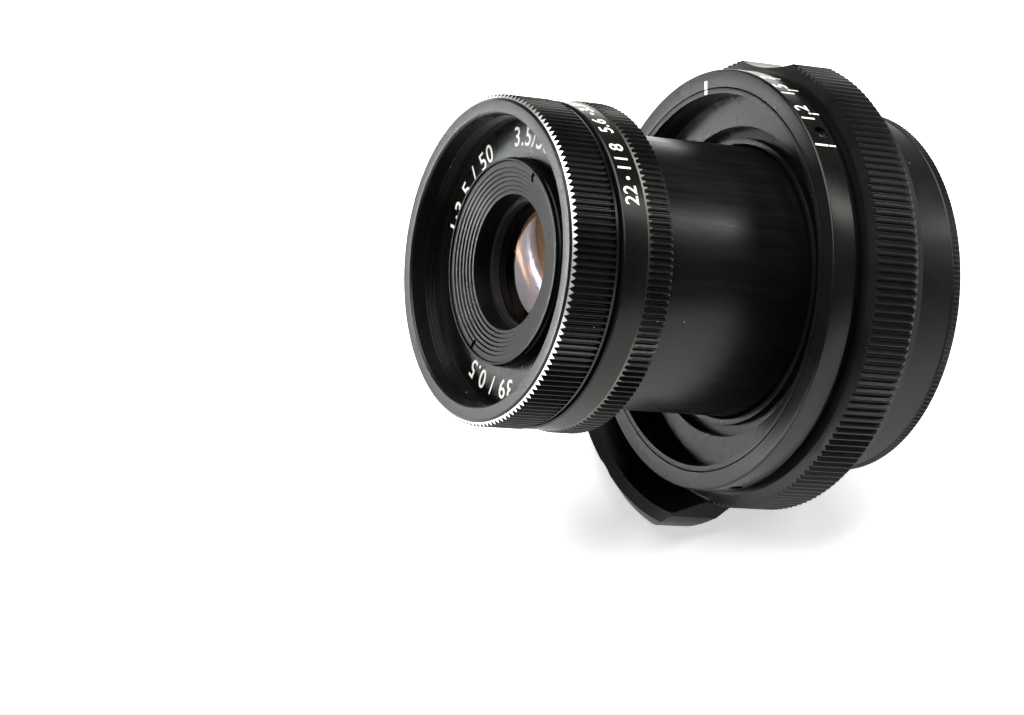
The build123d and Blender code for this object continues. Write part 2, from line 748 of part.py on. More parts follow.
rear_seat, rear_edge = REAR_GLASS_EDGE
cement_edge = (rear_seat + rear_edge) / 2
with BuildPart() as rear_cell:
    revolve(
        ring_section(
            (REAR_GLASS_R, REAR_CELL_REAR),
            (REAR_CELL_R, REAR_CELL_REAR),
            (REAR_CELL_R, IRIS_REAR - FREE),
            (REAR_GLASS_R - CELL_LEDGE, IRIS_REAR - FREE),
            (REAR_GLASS_R - CELL_LEDGE, rear_edge),
            (REAR_GLASS_R, rear_edge),
        ),
        axis=optical_axis,
    )
save(rear_cell, "rear_cell")

with BuildPart() as rear_element_front:
    revolve(
        glass_section(
            REAR_GLASS_R, cement_edge + CEMENT_SAG, cement_edge, rear_edge, rear_edge - REAR_FACE_SAG
        ),
        axis=optical_axis,
    )
save(rear_element_front, "rear_element_front")

with BuildPart() as rear_element_back:
    revolve(
        glass_section(
            REAR_GLASS_R, rear_seat - REAR_BULGE, rear_seat, cement_edge, cement_edge + CEMENT_SAG
        ),
        axis=optical_axis,
    )
save(rear_element_back, "rear_element_back")

with BuildPart() as rear_glass_ring:
    revolve(
        ring_section(
            (REAR_GLASS_R - CELL_LEDGE, REAR_CELL_REAR),
            (REAR_GLASS_R, REAR_CELL_REAR),
            (REAR_GLASS_R, rear_seat),
            (REAR_GLASS_R - CELL_LEDGE, rear_seat - REAR_BULGE / 2),
        ),
        axis=optical_axis,
    )
save(rear_glass_ring, "rear_glass_ring")

# ================= Aperture ring =================

pin_hole_r = (BEARING_R + APERTURE_R) / 2
with BuildPart() as aperture_ring:
    revolve(
        ring_section(
            (BEARING_R + RUN, HEAD_REAR),
            (APERTURE_R, HEAD_REAR),
            (APERTURE_R, APERTURE_KNURL_FRONT),
            (BAND_R, BAND_REAR),
            (BAND_R, APERTURE_FRONT - BAND_EDGE),
            (BAND_R - BAND_EDGE, APERTURE_FRONT),
            (BEARING_R + RUN, APERTURE_FRONT),
        ),
        axis=optical_axis,
    )
    with BuildSketch(radial_plane(COUPLING_PIN_CLOCK, BEARING_R, slot_height)):
        Circle(COUPLING_PIN_R)
    extrude(amount=pin_hole_r - BEARING_R, mode=Mode.SUBTRACT)
save(aperture_ring, "aperture_ring")

cam_ring_r = IRIS_BORE_R - RUN
pin_tip_r = (CAM_RING_RIM_R + cam_ring_r) / 2
with BuildPart() as iris_cam_ring:
    revolve(
        ring_section(
            (CAM_RING_BORE_R, CAM_RING_REAR),
            (cam_ring_r, CAM_RING_REAR),
            (cam_ring_r, CAM_RING_FRONT),
            (CAM_RING_RIM_R, CAM_RING_FRONT),
            (CAM_RING_RIM_R, CAM_RING_REAR + CAM_RING_WEB_T),
            (CAM_RING_BORE_R, CAM_RING_REAR + CAM_RING_WEB_T),
        ),
        axis=optical_axis,
    )
    with BuildSketch(radial_plane(COUPLING_PIN_CLOCK, pin_tip_r, slot_height)):
        Circle(COUPLING_PIN_R)
    extrude(amount=cam_ring_r - pin_tip_r + FREE, mode=Mode.SUBTRACT)
save(iris_cam_ring, "iris_cam_ring")

with BuildPart() as coupling_pin:
    with BuildSketch(radial_plane(COUPLING_PIN_CLOCK, pin_tip_r, slot_height)):
        Circle(COUPLING_PIN_R)
    extrude(amount=pin_hole_r - pin_tip_r)
save(coupling_pin, "coupling_pin")

# ================= Iris =================

plate_front = IRIS_REAR + BASE_PLATE_T
with BuildPart() as iris_base_plate:
    revolve(tube_section(BLADE_OPEN_R + FREE, IRIS_BORE_R, IRIS_REAR, plate_front), axis=optical_axis)
    with BuildSketch(level(IRIS_REAR)):
        with PolarLocations(BLADE_PIVOT_R, BLADE_COUNT):
            Circle(BLADE_PIN_R + RUN)
    extrude(amount=BASE_PLATE_T, mode=Mode.SUBTRACT)
save(iris_base_plate, "iris_base_plate")

for number in range(BLADE_COUNT):
    blade_rear = plate_front + SEAT + number * BLADE_STEP
    root = number * 360 / BLADE_COUNT
    pivot = (BLADE_PIVOT_R * cos(radians(root)), BLADE_PIVOT_R * sin(radians(root)))
    with BuildPart() as iris_blade:
        with BuildSketch(level(blade_rear)):
            with BuildLine():
                inner = CenterArc((0, 0), BLADE_OPEN_R, root - BLADE_HEEL, BLADE_ARC)
                outer = CenterArc((0, 0), BLADE_OUTER_R, root - BLADE_HEEL, BLADE_ARC)
                Line(inner @ 0, outer @ 0)
                Line(inner @ 1, outer @ 1)
            make_face()
            with PolarLocations((BLADE_OUTER_R + BLADE_PIVOT_R) / 2, 1, start_angle=root):
                Rectangle(BLADE_PIVOT_R - BLADE_OUTER_R + 2 * FREE, 2 * BLADE_EAR_R)
            with Locations(pivot):
                Circle(BLADE_EAR_R)
        extrude(amount=BLADE_T)
        with BuildSketch(level(IRIS_REAR + SEAT)):
            with Locations(pivot):
                Circle(BLADE_PIN_R)
        extrude(amount=blade_rear - IRIS_REAR - SEAT)
    save(iris_blade, f"iris_blade_{number + 1}")

# ================= Rear cap =================

cap_inner_r = CAP_R - CAP_WALL
with BuildPart() as rear_cap:
    revolve(
        ring_section(
            (0, -CAP_REAR),
            (CAP_R, -CAP_REAR),
            (CAP_R, -SEAT),
            (cap_inner_r, -SEAT),
            (cap_inner_r, CAP_FLOOR - CAP_REAR),
            (0, CAP_FLOOR - CAP_REAR),
        ),
        axis=optical_axis,
    )
    for number in range(LUG_COUNT):
        clock = number * 360 / LUG_COUNT
        lug = tube_section(BAYONET_R + FREE, cap_inner_r + RUN, lug_front + FREE, -CAP_LUG_FRONT, clock)
        revolve(lug, axis=optical_axis, revolution_arc=CAP_LUG_ARC)
save(rear_cap, "rear_cap")
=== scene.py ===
"""A 50 mm f/3.5 lens head on a collapsible tube, in a focusing bayonet mount, lying on its tab and rear cap.

Pieces are drawn in lens millimetres: x to the right and y to the top of the lens as seen from its front, and
z along the optical axis, forwards from the bayonet's seat. Each one is then laid into the frame, in metres.
"""

import json

from math import atan2, cos, pi, radians, sin

import bmesh
import bpy
from mathutils import Matrix, Vector


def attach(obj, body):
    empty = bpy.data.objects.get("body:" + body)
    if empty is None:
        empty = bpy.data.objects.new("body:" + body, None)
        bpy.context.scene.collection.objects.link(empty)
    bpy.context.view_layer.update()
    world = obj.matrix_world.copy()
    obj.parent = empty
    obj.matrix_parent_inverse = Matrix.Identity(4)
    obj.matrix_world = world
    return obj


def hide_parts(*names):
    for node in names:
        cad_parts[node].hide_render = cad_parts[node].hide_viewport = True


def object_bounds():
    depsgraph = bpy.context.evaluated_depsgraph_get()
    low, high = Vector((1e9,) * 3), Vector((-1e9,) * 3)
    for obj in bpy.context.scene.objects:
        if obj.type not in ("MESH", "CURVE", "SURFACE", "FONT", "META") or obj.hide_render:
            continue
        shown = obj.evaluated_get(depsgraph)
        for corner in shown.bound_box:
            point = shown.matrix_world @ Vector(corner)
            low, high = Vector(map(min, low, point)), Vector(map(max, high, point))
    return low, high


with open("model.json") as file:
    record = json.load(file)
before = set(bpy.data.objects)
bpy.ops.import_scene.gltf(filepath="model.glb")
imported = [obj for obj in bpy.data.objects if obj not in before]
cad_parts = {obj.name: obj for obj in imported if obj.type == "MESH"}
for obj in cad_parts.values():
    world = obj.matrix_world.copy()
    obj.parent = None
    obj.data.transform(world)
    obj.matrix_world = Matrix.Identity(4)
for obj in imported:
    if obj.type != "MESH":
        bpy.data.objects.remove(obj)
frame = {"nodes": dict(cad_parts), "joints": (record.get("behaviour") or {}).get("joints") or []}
cad_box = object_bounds()
nodes = frame["nodes"]

# --------------------------------------------------------------------------------------------------
# The lens's own axes in the frame. The focusing thread turns about the optical axis, so its joint gives the
# direction; the top of the lens is square to that and to the frame's X.

mm = 0.001
side = Vector((1, 0, 0))
optical_axis = Vector(next(joint["axis"] for joint in frame["joints"] if joint["name"] == "focus_turn"))
lens_top = optical_axis.cross(side)
lens_axes = Matrix((side, lens_top, optical_axis)).transposed().to_4x4()
lens_tilt = atan2(optical_axis.z, -optical_axis.y)
lens_to_frame = lens_axes @ Matrix.Scale(mm, 4)


def lay(piece):
    """Move a piece drawn in lens millimetres to its place in the frame."""
    piece.data.transform(lens_to_frame)
    piece.data.update()
    return piece


# --------------------------------------------------------------------------------------------------
# Studio: a white paper table top in a weak pale room. A large soft light hangs overhead and a narrow one is
# behind. A low card in front lights the bezel's chamfer, and the front glass reflects a lit patch of table.
# The camera looks down on the lens from its front right.

scene = bpy.context.scene
scene.view_settings.view_transform = "Standard"
scene.view_settings.look = "Medium High Contrast"
scene.world = bpy.data.worlds.new("pale room")
scene.world.use_nodes = True
room = scene.world.node_tree.nodes["Background"]
room.inputs["Color"].default_value = (0.93, 0.96, 1.0, 1)
room.inputs["Strength"].default_value = 0.06

def formed(name, form):
    """The finished mesh of a worked form, which is then let go."""
    mesh = bpy.data.meshes.new(name)
    form.to_mesh(mesh)
    form.free()
    return mesh


def put(name, content):
    """A new object in the scene, with its mesh, words, light or camera."""
    thing = bpy.data.objects.new(name, content)
    scene.collection.objects.link(thing)
    return thing


table_reach = 3.0
table_form = bmesh.new()
bmesh.ops.create_grid(table_form, x_segments=2, y_segments=2, size=table_reach)
bmesh.ops.translate(table_form, verts=table_form.verts, vec=(0, 0, cad_box[0].z))
table_top = put("table_top", formed("table_top", table_form))
table_paper = bpy.data.materials.new("white_paper")
table_paper.use_nodes = True
paper = table_paper.node_tree.nodes["Principled BSDF"]
paper.inputs["Base Color"].default_value = (0.95, 0.95, 0.94, 1)
paper.inputs["Roughness"].default_value = 0.7
paper.inputs["Emission Color"].default_value = (0.98, 0.99, 1.0, 1)
paper.inputs["Emission Strength"].default_value = 0.5
table_top.data.materials.append(table_paper)


def soft_light(name, place, width, height, power, colour, aim=(0, -0.02, 0)):
    """A rectangular soft light that faces the lens's middle, or another place."""
    lamp = bpy.data.lights.new(name, "AREA")
    lamp.shape = "RECTANGLE"
    lamp.size, lamp.size_y = width, height
    lamp.energy, lamp.color = power, colour
    light = put(name, lamp)
    light.location = place
    light.rotation_euler = (Vector(aim) - Vector(place)).to_track_quat("-Z", "Y").to_euler()


soft_light("high_softbox", (-0.25, -0.1, 1.4), width=1.7, height=1.5, power=52, colour=(1.0, 0.985, 0.96))
soft_light("rear_softbox", (0.16, 1.03, 0.62), width=0.2, height=0.5, power=3.4, colour=(1.0, 0.98, 0.94))
soft_light("front_card", (0.45, -1.15, 0.1), width=0.5, height=0.25, power=1.6, colour=(1.0, 0.99, 0.97))
soft_light("table_patch", (-0.18, -0.46, 0.0), width=0.26, height=0.26, power=13.0, colour=(0.92, 0.96, 1.0),
           aim=(-0.18, -0.46, -1))

camera_place = Vector((337.0, 244.2, 297.4)) * mm
camera_ahead = Vector((-0.67683, -0.52258, -0.5184))
camera_right = Vector((0.36573, 0.37249, -0.8530))
camera_up = camera_right.cross(camera_ahead)
camera_lens = bpy.data.cameras.new("camera")
camera_lens.sensor_width = 36.0
camera_lens.lens = 128.07
camera_lens.clip_start, camera_lens.clip_end = 0.01, 20.0
camera = put("camera", camera_lens)
scene.camera = camera
turned_camera = Matrix((camera_right, camera_up, -camera_ahead)).transposed().to_4x4()
camera.matrix_world = lens_axes @ Matrix.Translation(camera_place) @ turned_camera


# --------------------------------------------------------------------------------------------------
# Bayonet flange: turned brass, plated and polished, held to the mount body by countersunk screws. The tool
# leaves fine rings on it, and the lathe_marks effect gives them to every turned piece.


def new_group(name, inputs, outputs):
    """An empty shader group with named value and vector sockets."""
    group = bpy.data.node_groups.new(name, "ShaderNodeTree")
    for label, kind in inputs.items():
        group.interface.new_socket(label, in_out="INPUT", socket_type=kind)
    for label, kind in outputs.items():
        group.interface.new_socket(label, in_out="OUTPUT", socket_type=kind)
    return group, group.nodes.new("NodeGroupInput").outputs, group.nodes.new("NodeGroupOutput").inputs


def add(tree, kind, settings=None, values=None):
    """Add a node, set its properties, and give each named input a value or a link."""
    node = tree.nodes.new(kind)
    for label, value in (settings or {}).items():
        setattr(node, label, value)
    for label, value in (values or {}).items():
        if isinstance(value, bpy.types.NodeSocket):
            tree.links.new(value, node.inputs[label])
        else:
            node.inputs[label].default_value = value
    return node


def math(tree, operation, first, second=0.0, clamp=False):
    """The value of a Math node."""
    settings = {"operation": operation, "use_clamp": clamp}
    return add(tree, "ShaderNodeMath", settings, {0: first, 1: second}).outputs[0]


value, vector = "NodeSocketFloat", "NodeSocketVector"

lathe_marks, given, wanted = new_group("lathe_marks", {"Place": vector, "Pitch": value}, {"Height": value})
split = add(lathe_marks, "ShaderNodeSeparateXYZ", values={0: given["Place"]}).outputs
squares = [math(lathe_marks, "POWER", part, 2) for part in split[:2]]
reach = math(lathe_marks, "SQRT", math(lathe_marks, "ADD", *squares))
across = math(lathe_marks, "DIVIDE", reach, given["Pitch"])
along = math(lathe_marks, "DIVIDE", split[2], given["Pitch"])
ringed = add(lathe_marks, "ShaderNodeCombineXYZ", values={0: across, 1: along}).outputs[0]
rings = add(lathe_marks, "ShaderNodeTexNoise", values={"Vector": ringed, "Scale": 1.0, "Detail": 4.0})
lathe_marks.links.new(rings.outputs["Fac"], wanted["Height"])

blotches_per_mm = 0.16
grain, given, wanted = new_group("grain", {"Place": vector, "Size": value},
                                 {"Height": value, "Blotch": value})
spread = math(grain, "DIVIDE", 1.0, given["Size"])
fine = add(grain, "ShaderNodeTexNoise", values={"Vector": given["Place"], "Scale": spread, "Detail": 3.0})
broad = add(grain, "ShaderNodeTexNoise",
            values={"Vector": given["Place"], "Scale": blotches_per_mm, "Detail": 5.0})
grain.links.new(fine.outputs["Fac"], wanted["Height"])
grain.links.new(broad.outputs["Fac"], wanted["Blotch"])

bend_gain, chip_gain, chips_per_mm = 9.0, 12.0, 0.9
edge_wear, given, wanted = new_group("edge_wear", {"Place": vector, "Width": value, "Share": value},
                                     {"Worn": value})
eased = add(edge_wear, "ShaderNodeBevel", {"samples": 6}, {"Radius": given["Width"]}).outputs[0]
plain = add(edge_wear, "ShaderNodeNewGeometry").outputs["Normal"]
turn = add(edge_wear, "ShaderNodeVectorMath", {"operation": "DOT_PRODUCT"}, {0: eased, 1: plain})
bend = math(edge_wear, "SUBTRACT", 1.0, turn.outputs["Value"])
bend = math(edge_wear, "MULTIPLY", bend, bend_gain, True)
patchy = add(edge_wear, "ShaderNodeTexNoise",
             values={"Vector": given["Place"], "Scale": chips_per_mm, "Detail": 6.0})
unworn = math(edge_wear, "SUBTRACT", 1.0, given["Share"])
chipped = math(edge_wear, "SUBTRACT", patchy.outputs["Fac"], unworn)
rubbed = math(edge_wear, "MULTIPLY", bend, math(edge_wear, "MULTIPLY", chipped, chip_gain, True), True)
edge_wear.links.new(rubbed, wanted["Worn"])

specks_per_mm, speck_size, dust_colour, dust_roughness = 0.62, 0.045, (0.5, 0.48, 0.44), 0.4
dust, given, wanted = new_group("dust", {"Place": vector, "Amount": value}, {"Speck": value})
cells = add(dust, "ShaderNodeTexVoronoi", values={"Vector": given["Place"], "Scale": specks_per_mm})
picked = add(dust, "ShaderNodeSeparateXYZ", values={0: cells.outputs["Color"]}).outputs[0]
kept = math(dust, "LESS_THAN", picked, given["Amount"])
small = math(dust, "LESS_THAN", cells.outputs["Distance"], speck_size)
dust.links.new(math(dust, "MULTIPLY", kept, small), wanted["Speck"])


def place_group(tree, group, values):
    """A shader group placed in a material with its own values."""
    return add(tree, "ShaderNodeGroup", {"node_tree": group}, values).outputs


def new_finish(name, **plain_values):
    """A material with its Principled shader, and the surface's place in lens millimetres."""
    finish = bpy.data.materials.new(name)
    finish.use_nodes = True
    tree = finish.node_tree
    shader = tree.nodes["Principled BSDF"]
    for label, setting in plain_values.items():
        shader.inputs[label.replace("_", " ")].default_value = setting
    own = add(tree, "ShaderNodeTexCoord").outputs["Object"]
    turned_back = {"Vector": own, "Rotation": (lens_tilt - pi / 2, 0, 0), "Scale": (1 / mm, 1 / mm, 1 / mm)}
    place = add(tree, "ShaderNodeMapping", values=turned_back).outputs[0]
    return finish, tree, shader, place


def mixed(tree, share, first, second):
    """A colour between two, by a share that varies over the surface."""
    mix = add(tree, "ShaderNodeMix", {"data_type": "RGBA"}, {"Factor": share})
    first_colour, second_colour, blend = mix.inputs[6], mix.inputs[7], mix.outputs[2]
    for socket, colour in ((first_colour, first), (second_colour, second)):
        if isinstance(colour, bpy.types.NodeSocket):
            tree.links.new(colour, socket)
        else:
            socket.default_value = (*colour, 1)
    return blend


noise_low, noise_high = 0.3, 0.7


def between(tree, share, low, high):
    """A value that runs from low to high as the share runs over the middle of a noise."""
    limits = {"Value": share, "From Min": noise_low, "From Max": noise_high, "To Min": low, "To Max": high}
    return add(tree, "ShaderNodeMapRange", values=limits).outputs[0]


film_ior, mark_pitch, grain_size, wear_spread = 1.42, 0.05, 0.11, 1.5


def metal_finish(name, colours, gloss, marks=0.35, depth=0.012, wear=0.2, bare=(0.3, 0.28, 0.25),
                 metallic=0.0, specks=0.03, rounding=0.03, shine=0.5):
    """Turned metal: two close colours, a range of roughness, tool marks, grain, rubbed edges and dust."""
    finish, tree, shader, place = new_finish(name, Metallic=metallic, IOR=film_ior, Specular_IOR_Level=shine)
    ringed_height = place_group(tree, lathe_marks, {"Place": place, "Pitch": mark_pitch})["Height"]
    grained = place_group(tree, grain, {"Place": place, "Size": grain_size})
    wear_values = {"Place": place, "Width": rounding * mm * wear_spread, "Share": wear}
    worn = place_group(tree, edge_wear, wear_values)["Worn"]
    speck = place_group(tree, dust, {"Place": place, "Amount": specks})["Speck"]
    tone = mixed(tree, between(tree, grained["Blotch"], 0, 1), *colours)
    dusty = mixed(tree, speck, mixed(tree, worn, tone, bare), dust_colour)
    tree.links.new(dusty, shader.inputs["Base Color"])
    rough = between(tree, grained["Blotch"], *gloss)
    dulled = math(tree, "ADD", rough, math(tree, "MULTIPLY", speck, dust_roughness))
    tree.links.new(dulled, shader.inputs["Roughness"])
    height = math(tree, "ADD", math(tree, "MULTIPLY", ringed_height, marks),
                  math(tree, "MULTIPLY", grained["Height"], 1 - marks))
    softened = add(tree, "ShaderNodeBevel", {"samples": 4}, {"Radius": rounding * mm}).outputs[0]
    relief = {"Height": height, "Distance": depth * mm, "Strength": 1.0, "Normal": softened}
    tree.links.new(add(tree, "ShaderNodeBump", values=relief).outputs[0], shader.inputs["Normal"])
    return finish


def coat(node, finish):
    """Give a CAD node its finish."""
    nodes[node].data.materials.clear()
    nodes[node].data.materials.append(finish)


bright_plate = metal_finish("bright_plate", ((0.62, 0.6, 0.57), (0.55, 0.54, 0.52)), (0.16, 0.28), marks=0.8,
                            depth=0.006, bare=(0.6, 0.5, 0.3), metallic=1.0)
coat("bayonet_flange", bright_plate)

# --------------------------------------------------------------------------------------------------
# Screws, pins, ball and spring: small steel pieces, turned and left as they come from the lathe. The screws
# hold the flange and the ring's retainer; the others stop, couple and click the moving parts inside.

screw_steel = metal_finish("screw_steel", ((0.42, 0.41, 0.39), (0.34, 0.33, 0.32)), (0.22, 0.34),
                           depth=0.005, metallic=1.0, specks=0.0)
steel_pieces = ("flange_screws", "retainer_screws", "focus_stop_pin", "coupling_pin", "click_ball",
                "click_spring")
for steel_piece in steel_pieces:
    coat(steel_piece, screw_steel)

# --------------------------------------------------------------------------------------------------
# Brass pieces: the guide key, the turning helicoid and the barrel that it drives. They are turned or milled
# from bar, and left bare and lightly greased.

bare_brass = metal_finish("bare_brass", ((0.62, 0.44, 0.18), (0.52, 0.36, 0.15)), (0.26, 0.42), marks=0.7,
                          depth=0.01, wear=0.22, bare=(0.75, 0.58, 0.3), metallic=1.0, specks=0.0)
for brass_piece in ("guide_key", "focus_helicoid", "inner_barrel"):
    coat(brass_piece, bare_brass)

# --------------------------------------------------------------------------------------------------
# Mount body and the pieces that hardly show: aluminium, turned and anodised matt black, so that they reflect
# no light inside the lens. They are screwed or pressed together.

rubbed_share = 0.22
matt_black = metal_finish("matt_black", ((0.014, 0.0135, 0.013), (0.02, 0.019, 0.018)), (0.5, 0.66),
                          marks=0.5, depth=0.014, wear=rubbed_share, specks=0.02)
hidden_pieces = ("mount_body", "ring_retainer", "tube_stop_ring", "head_barrel", "front_glass_ring",
                 "second_glass_ring", "rear_cell", "rear_glass_ring", "iris_base_plate", "iris_cam_ring")
for hidden_piece in hidden_pieces:
    coat(hidden_piece, matt_black)

# --------------------------------------------------------------------------------------------------
# Rear cap: moulded black plastic with a satin side, a flat back and fine grooves round its rear edge.
# It is drawn as an outline of (radius, height) points and turned, and Geometry Nodes cut the grooves.

corner_steps, corner_share, on_axis = 3, 0.42, 1e-6


def eased_outline(points, ease):
    """The closed outline with each corner rounded off; points on the axis stay sharp."""
    if ease == 0:
        return [Vector(point) for point in points]
    outline = []
    for index, here in enumerate(points):
        before, after = points[index - 1], points[(index + 1) % len(points)]
        here, before, after = Vector(here), Vector(before), Vector(after)
        if here.x < on_axis:
            outline.append(here)
            continue
        back, ahead = before - here, after - here
        cut = min(ease, corner_share * back.length, corner_share * ahead.length)
        start, end = here + back.normalized() * cut, here + ahead.normalized() * cut
        for step in range(corner_steps + 1):
            t = step / corner_steps
            outline.append(start * (1 - t) ** 2 + here * 2 * t * (1 - t) + end * t**2)
    return outline


def turned(name, points, steps=240, ease=0.06):
    """A piece turned on a lathe, from its closed outline of (radius, height) points."""
    outline = eased_outline(points, ease)
    angles = [2 * pi * k / steps for k in range(steps)]
    corners, rings = [], []
    for spot in outline:
        if spot.x < on_axis:
            rings.append([len(corners)] * steps)
            corners.append((0, 0, spot.y))
            continue
        rings.append(range(len(corners), len(corners) + steps))
        corners += [(spot.x * cos(angle), spot.x * sin(angle), spot.y) for angle in angles]
    faces = []
    for ring, other in zip(rings, rings[1:] + rings[:1]):
        for k in range(steps):
            n = (k + 1) % steps
            face = list(dict.fromkeys((ring[k], ring[n], other[n], other[k])))
            if len(face) > 2:
                faces.append(face)
    mesh = bpy.data.meshes.new(name)
    mesh.from_pydata(corners, [], faces)
    form = bmesh.new()
    form.from_mesh(mesh)
    bmesh.ops.recalc_face_normals(form, faces=form.faces)
    form.to_mesh(mesh)
    form.free()
    return put(name, mesh)


def smoothed(piece, angle=28):
    """Smooth shading with creases where the surface turns more than an angle."""
    piece.data.shade_smooth()
    piece.data.set_sharp_from_angle(angle=radians(angle))
    return piece


def knurl_nodes():
    """Geometry Nodes that cut straight tapered grooves along the rim of a turned piece."""
    tree = bpy.data.node_groups.new("knurl", "GeometryNodeTree")
    tree.interface.new_socket("Piece", in_out="INPUT", socket_type="NodeSocketGeometry")
    tree.interface.new_socket("Grooves", in_out="INPUT", socket_type="NodeSocketInt")
    for label in ("Root Radius", "Root Width", "Depth", "Flare", "Rear", "Front"):
        tree.interface.new_socket(label, in_out="INPUT", socket_type="NodeSocketFloat")
    tree.interface.new_socket("Metal", in_out="INPUT", socket_type="NodeSocketMaterial")
    tree.interface.new_socket("Piece", in_out="OUTPUT", socket_type="NodeSocketGeometry")
    given = tree.nodes.new("NodeGroupInput").outputs
    wanted = tree.nodes.new("NodeGroupOutput").inputs
    block = add(tree, "GeometryNodeMeshCube", values={"Size": (1, 1, 1)}).outputs["Mesh"]
    corner = add(tree, "GeometryNodeInputPosition").outputs[0]
    spot = add(tree, "ShaderNodeSeparateXYZ", values={0: corner}).outputs
    risen = math(tree, "MULTIPLY", math(tree, "ADD", spot[0], 0.5), given["Depth"])
    wide = math(tree, "ADD", given["Root Width"], math(tree, "MULTIPLY", risen, given["Flare"]))
    length = math(tree, "SUBTRACT", given["Front"], given["Rear"])
    up = math(tree, "ADD", given["Rear"], math(tree, "MULTIPLY", math(tree, "ADD", spot[2], 0.5), length))
    out = math(tree, "ADD", given["Root Radius"], risen)
    aside = math(tree, "MULTIPLY", spot[1], wide)
    shaped = add(tree, "ShaderNodeCombineXYZ", values={0: out, 1: aside, 2: up}).outputs[0]
    cutter = add(tree, "GeometryNodeSetPosition", values={"Geometry": block, "Position": shaped}).outputs[0]
    spots = add(tree, "GeometryNodePoints", values={"Count": given["Grooves"]}).outputs[0]
    index = add(tree, "GeometryNodeInputIndex").outputs[0]
    angle = math(tree, "DIVIDE", math(tree, "MULTIPLY", index, 2 * pi), given["Grooves"])
    heading = add(tree, "ShaderNodeCombineXYZ", values={2: angle}).outputs[0]
    turned_points = {"Points": spots, "Instance": cutter, "Rotation": heading}
    cutters = add(tree, "GeometryNodeInstanceOnPoints", values=turned_points).outputs[0]
    solid = add(tree, "GeometryNodeRealizeInstances", values={"Geometry": cutters}).outputs[0]
    cut = add(tree, "GeometryNodeMeshBoolean", {"operation": "DIFFERENCE", "solver": "EXACT"},
              {"Mesh 1": given["Piece"], "Mesh 2": solid}).outputs[0]
    whole = add(tree, "GeometryNodeRealizeInstances", values={"Geometry": cut}).outputs[0]
    coated = add(tree, "GeometryNodeSetMaterial", values={"Geometry": whole, "Material": given["Metal"]})
    tree.links.new(coated.outputs[0], wanted["Piece"])
    return tree


knurl = knurl_nodes()
root_width, cutter_rise, crest_share = 0.1, 0.03, 0.95


def knurled(piece, metal, grooves, crest, depth, rear, front):
    """Cut grooves round a piece with the knurl nodes, and keep the result as its plain mesh."""
    height = depth + cutter_rise
    flare = (2 * pi * crest / grooves * crest_share - root_width) / height
    piece.data.materials.append(metal)
    cut = piece.modifiers.new("knurl", "NODES")
    cut.node_group = knurl
    settings = {"Grooves": grooves, "Root Radius": crest - depth, "Root Width": root_width, "Depth": height,
                "Flare": flare, "Rear": rear, "Front": front, "Metal": metal}
    for socket in knurl.interface.items_tree:
        if socket.in_out == "INPUT" and socket.name in settings:
            cut[socket.identifier] = settings[socket.name]
    evaluated = piece.evaluated_get(bpy.context.evaluated_depsgraph_get())
    plain_mesh = bpy.data.meshes.new_from_object(evaluated)
    piece.modifiers.clear()
    piece.data = plain_mesh
    plain_mesh.name = piece.name
    return piece


cap_plastic = metal_finish("cap_plastic", ((0.009, 0.0088, 0.0086), (0.013, 0.0127, 0.0122)), (0.34, 0.46),
                           marks=0.25, depth=0.01, wear=rubbed_share, bare=(0.12, 0.115, 0.11), specks=0.02,
                           shine=0.36)
cap_radius, cap_bore, cap_back, cap_floor, cap_mouth = 25.2, 23.3, -9.9, -8.7, -0.12
back_radius, back_step, back_rim, side_radius, mouth_radius = 24.0, 24.2, 24.95, 25.08, 24.9
rim_rear, corner_end, cap_grip_end, side_rear, side_front = -9.78, -9.55, -8.4, -8.28, -0.3
cap_outline = [(0, cap_back), (back_radius, cap_back), (back_step, rim_rear), (back_rim, rim_rear),
               (cap_radius, corner_end), (cap_radius, cap_grip_end), (side_radius, side_rear),
               (side_radius, side_front), (mouth_radius, cap_mouth), (cap_bore, cap_mouth),
               (cap_bore, cap_floor), (0, cap_floor)]
rear_cap = turned("rear_cap_knurled", cap_outline, steps=288)
knurled(rear_cap, cap_plastic, grooves=225, crest=cap_radius, depth=0.22, rear=cap_back - 0.4,
        front=cap_grip_end - 0.05)
smoothed(lay(rear_cap))
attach(rear_cap, "rear_cap")
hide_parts("rear_cap")

# --------------------------------------------------------------------------------------------------
# Focus ring: turned and milled from one aluminium bar, knurled with straight grooves, then bead blasted and
# anodised black. It has a finger tab below and a smooth thumb notch at the upper left.

ring_black = metal_finish("ring_black", ((0.007, 0.0069, 0.0066), (0.011, 0.0107, 0.01)), (0.3, 0.42),
                          marks=0.15, depth=0.02, wear=rubbed_share, bare=(0.4, 0.38, 0.34), specks=0.05,
                          shine=0.4)
ring_bore, ring_rear_radius, face_inner, ring_rear, grip_rear = 27.45, 29.6, 29.5, 1.3, 2.1
grip_radius, grip_edge, grip_crest_front, grip_front = 31.3, 0.4, 8.8, 9.3
grip_outline = [(ring_bore, ring_rear), (ring_rear_radius, ring_rear), (ring_rear_radius, grip_rear),
                (grip_radius - grip_edge, grip_rear), (grip_radius, grip_rear + grip_edge),
                (grip_radius, grip_crest_front), (face_inner, grip_front), (ring_bore, grip_front)]
focus_ring = turned("focus_ring_knurled", grip_outline, steps=350)
knurled(focus_ring, ring_black, grooves=175, crest=grip_radius, depth=0.55, rear=grip_rear - 0.5,
        front=grip_front + 0.3)

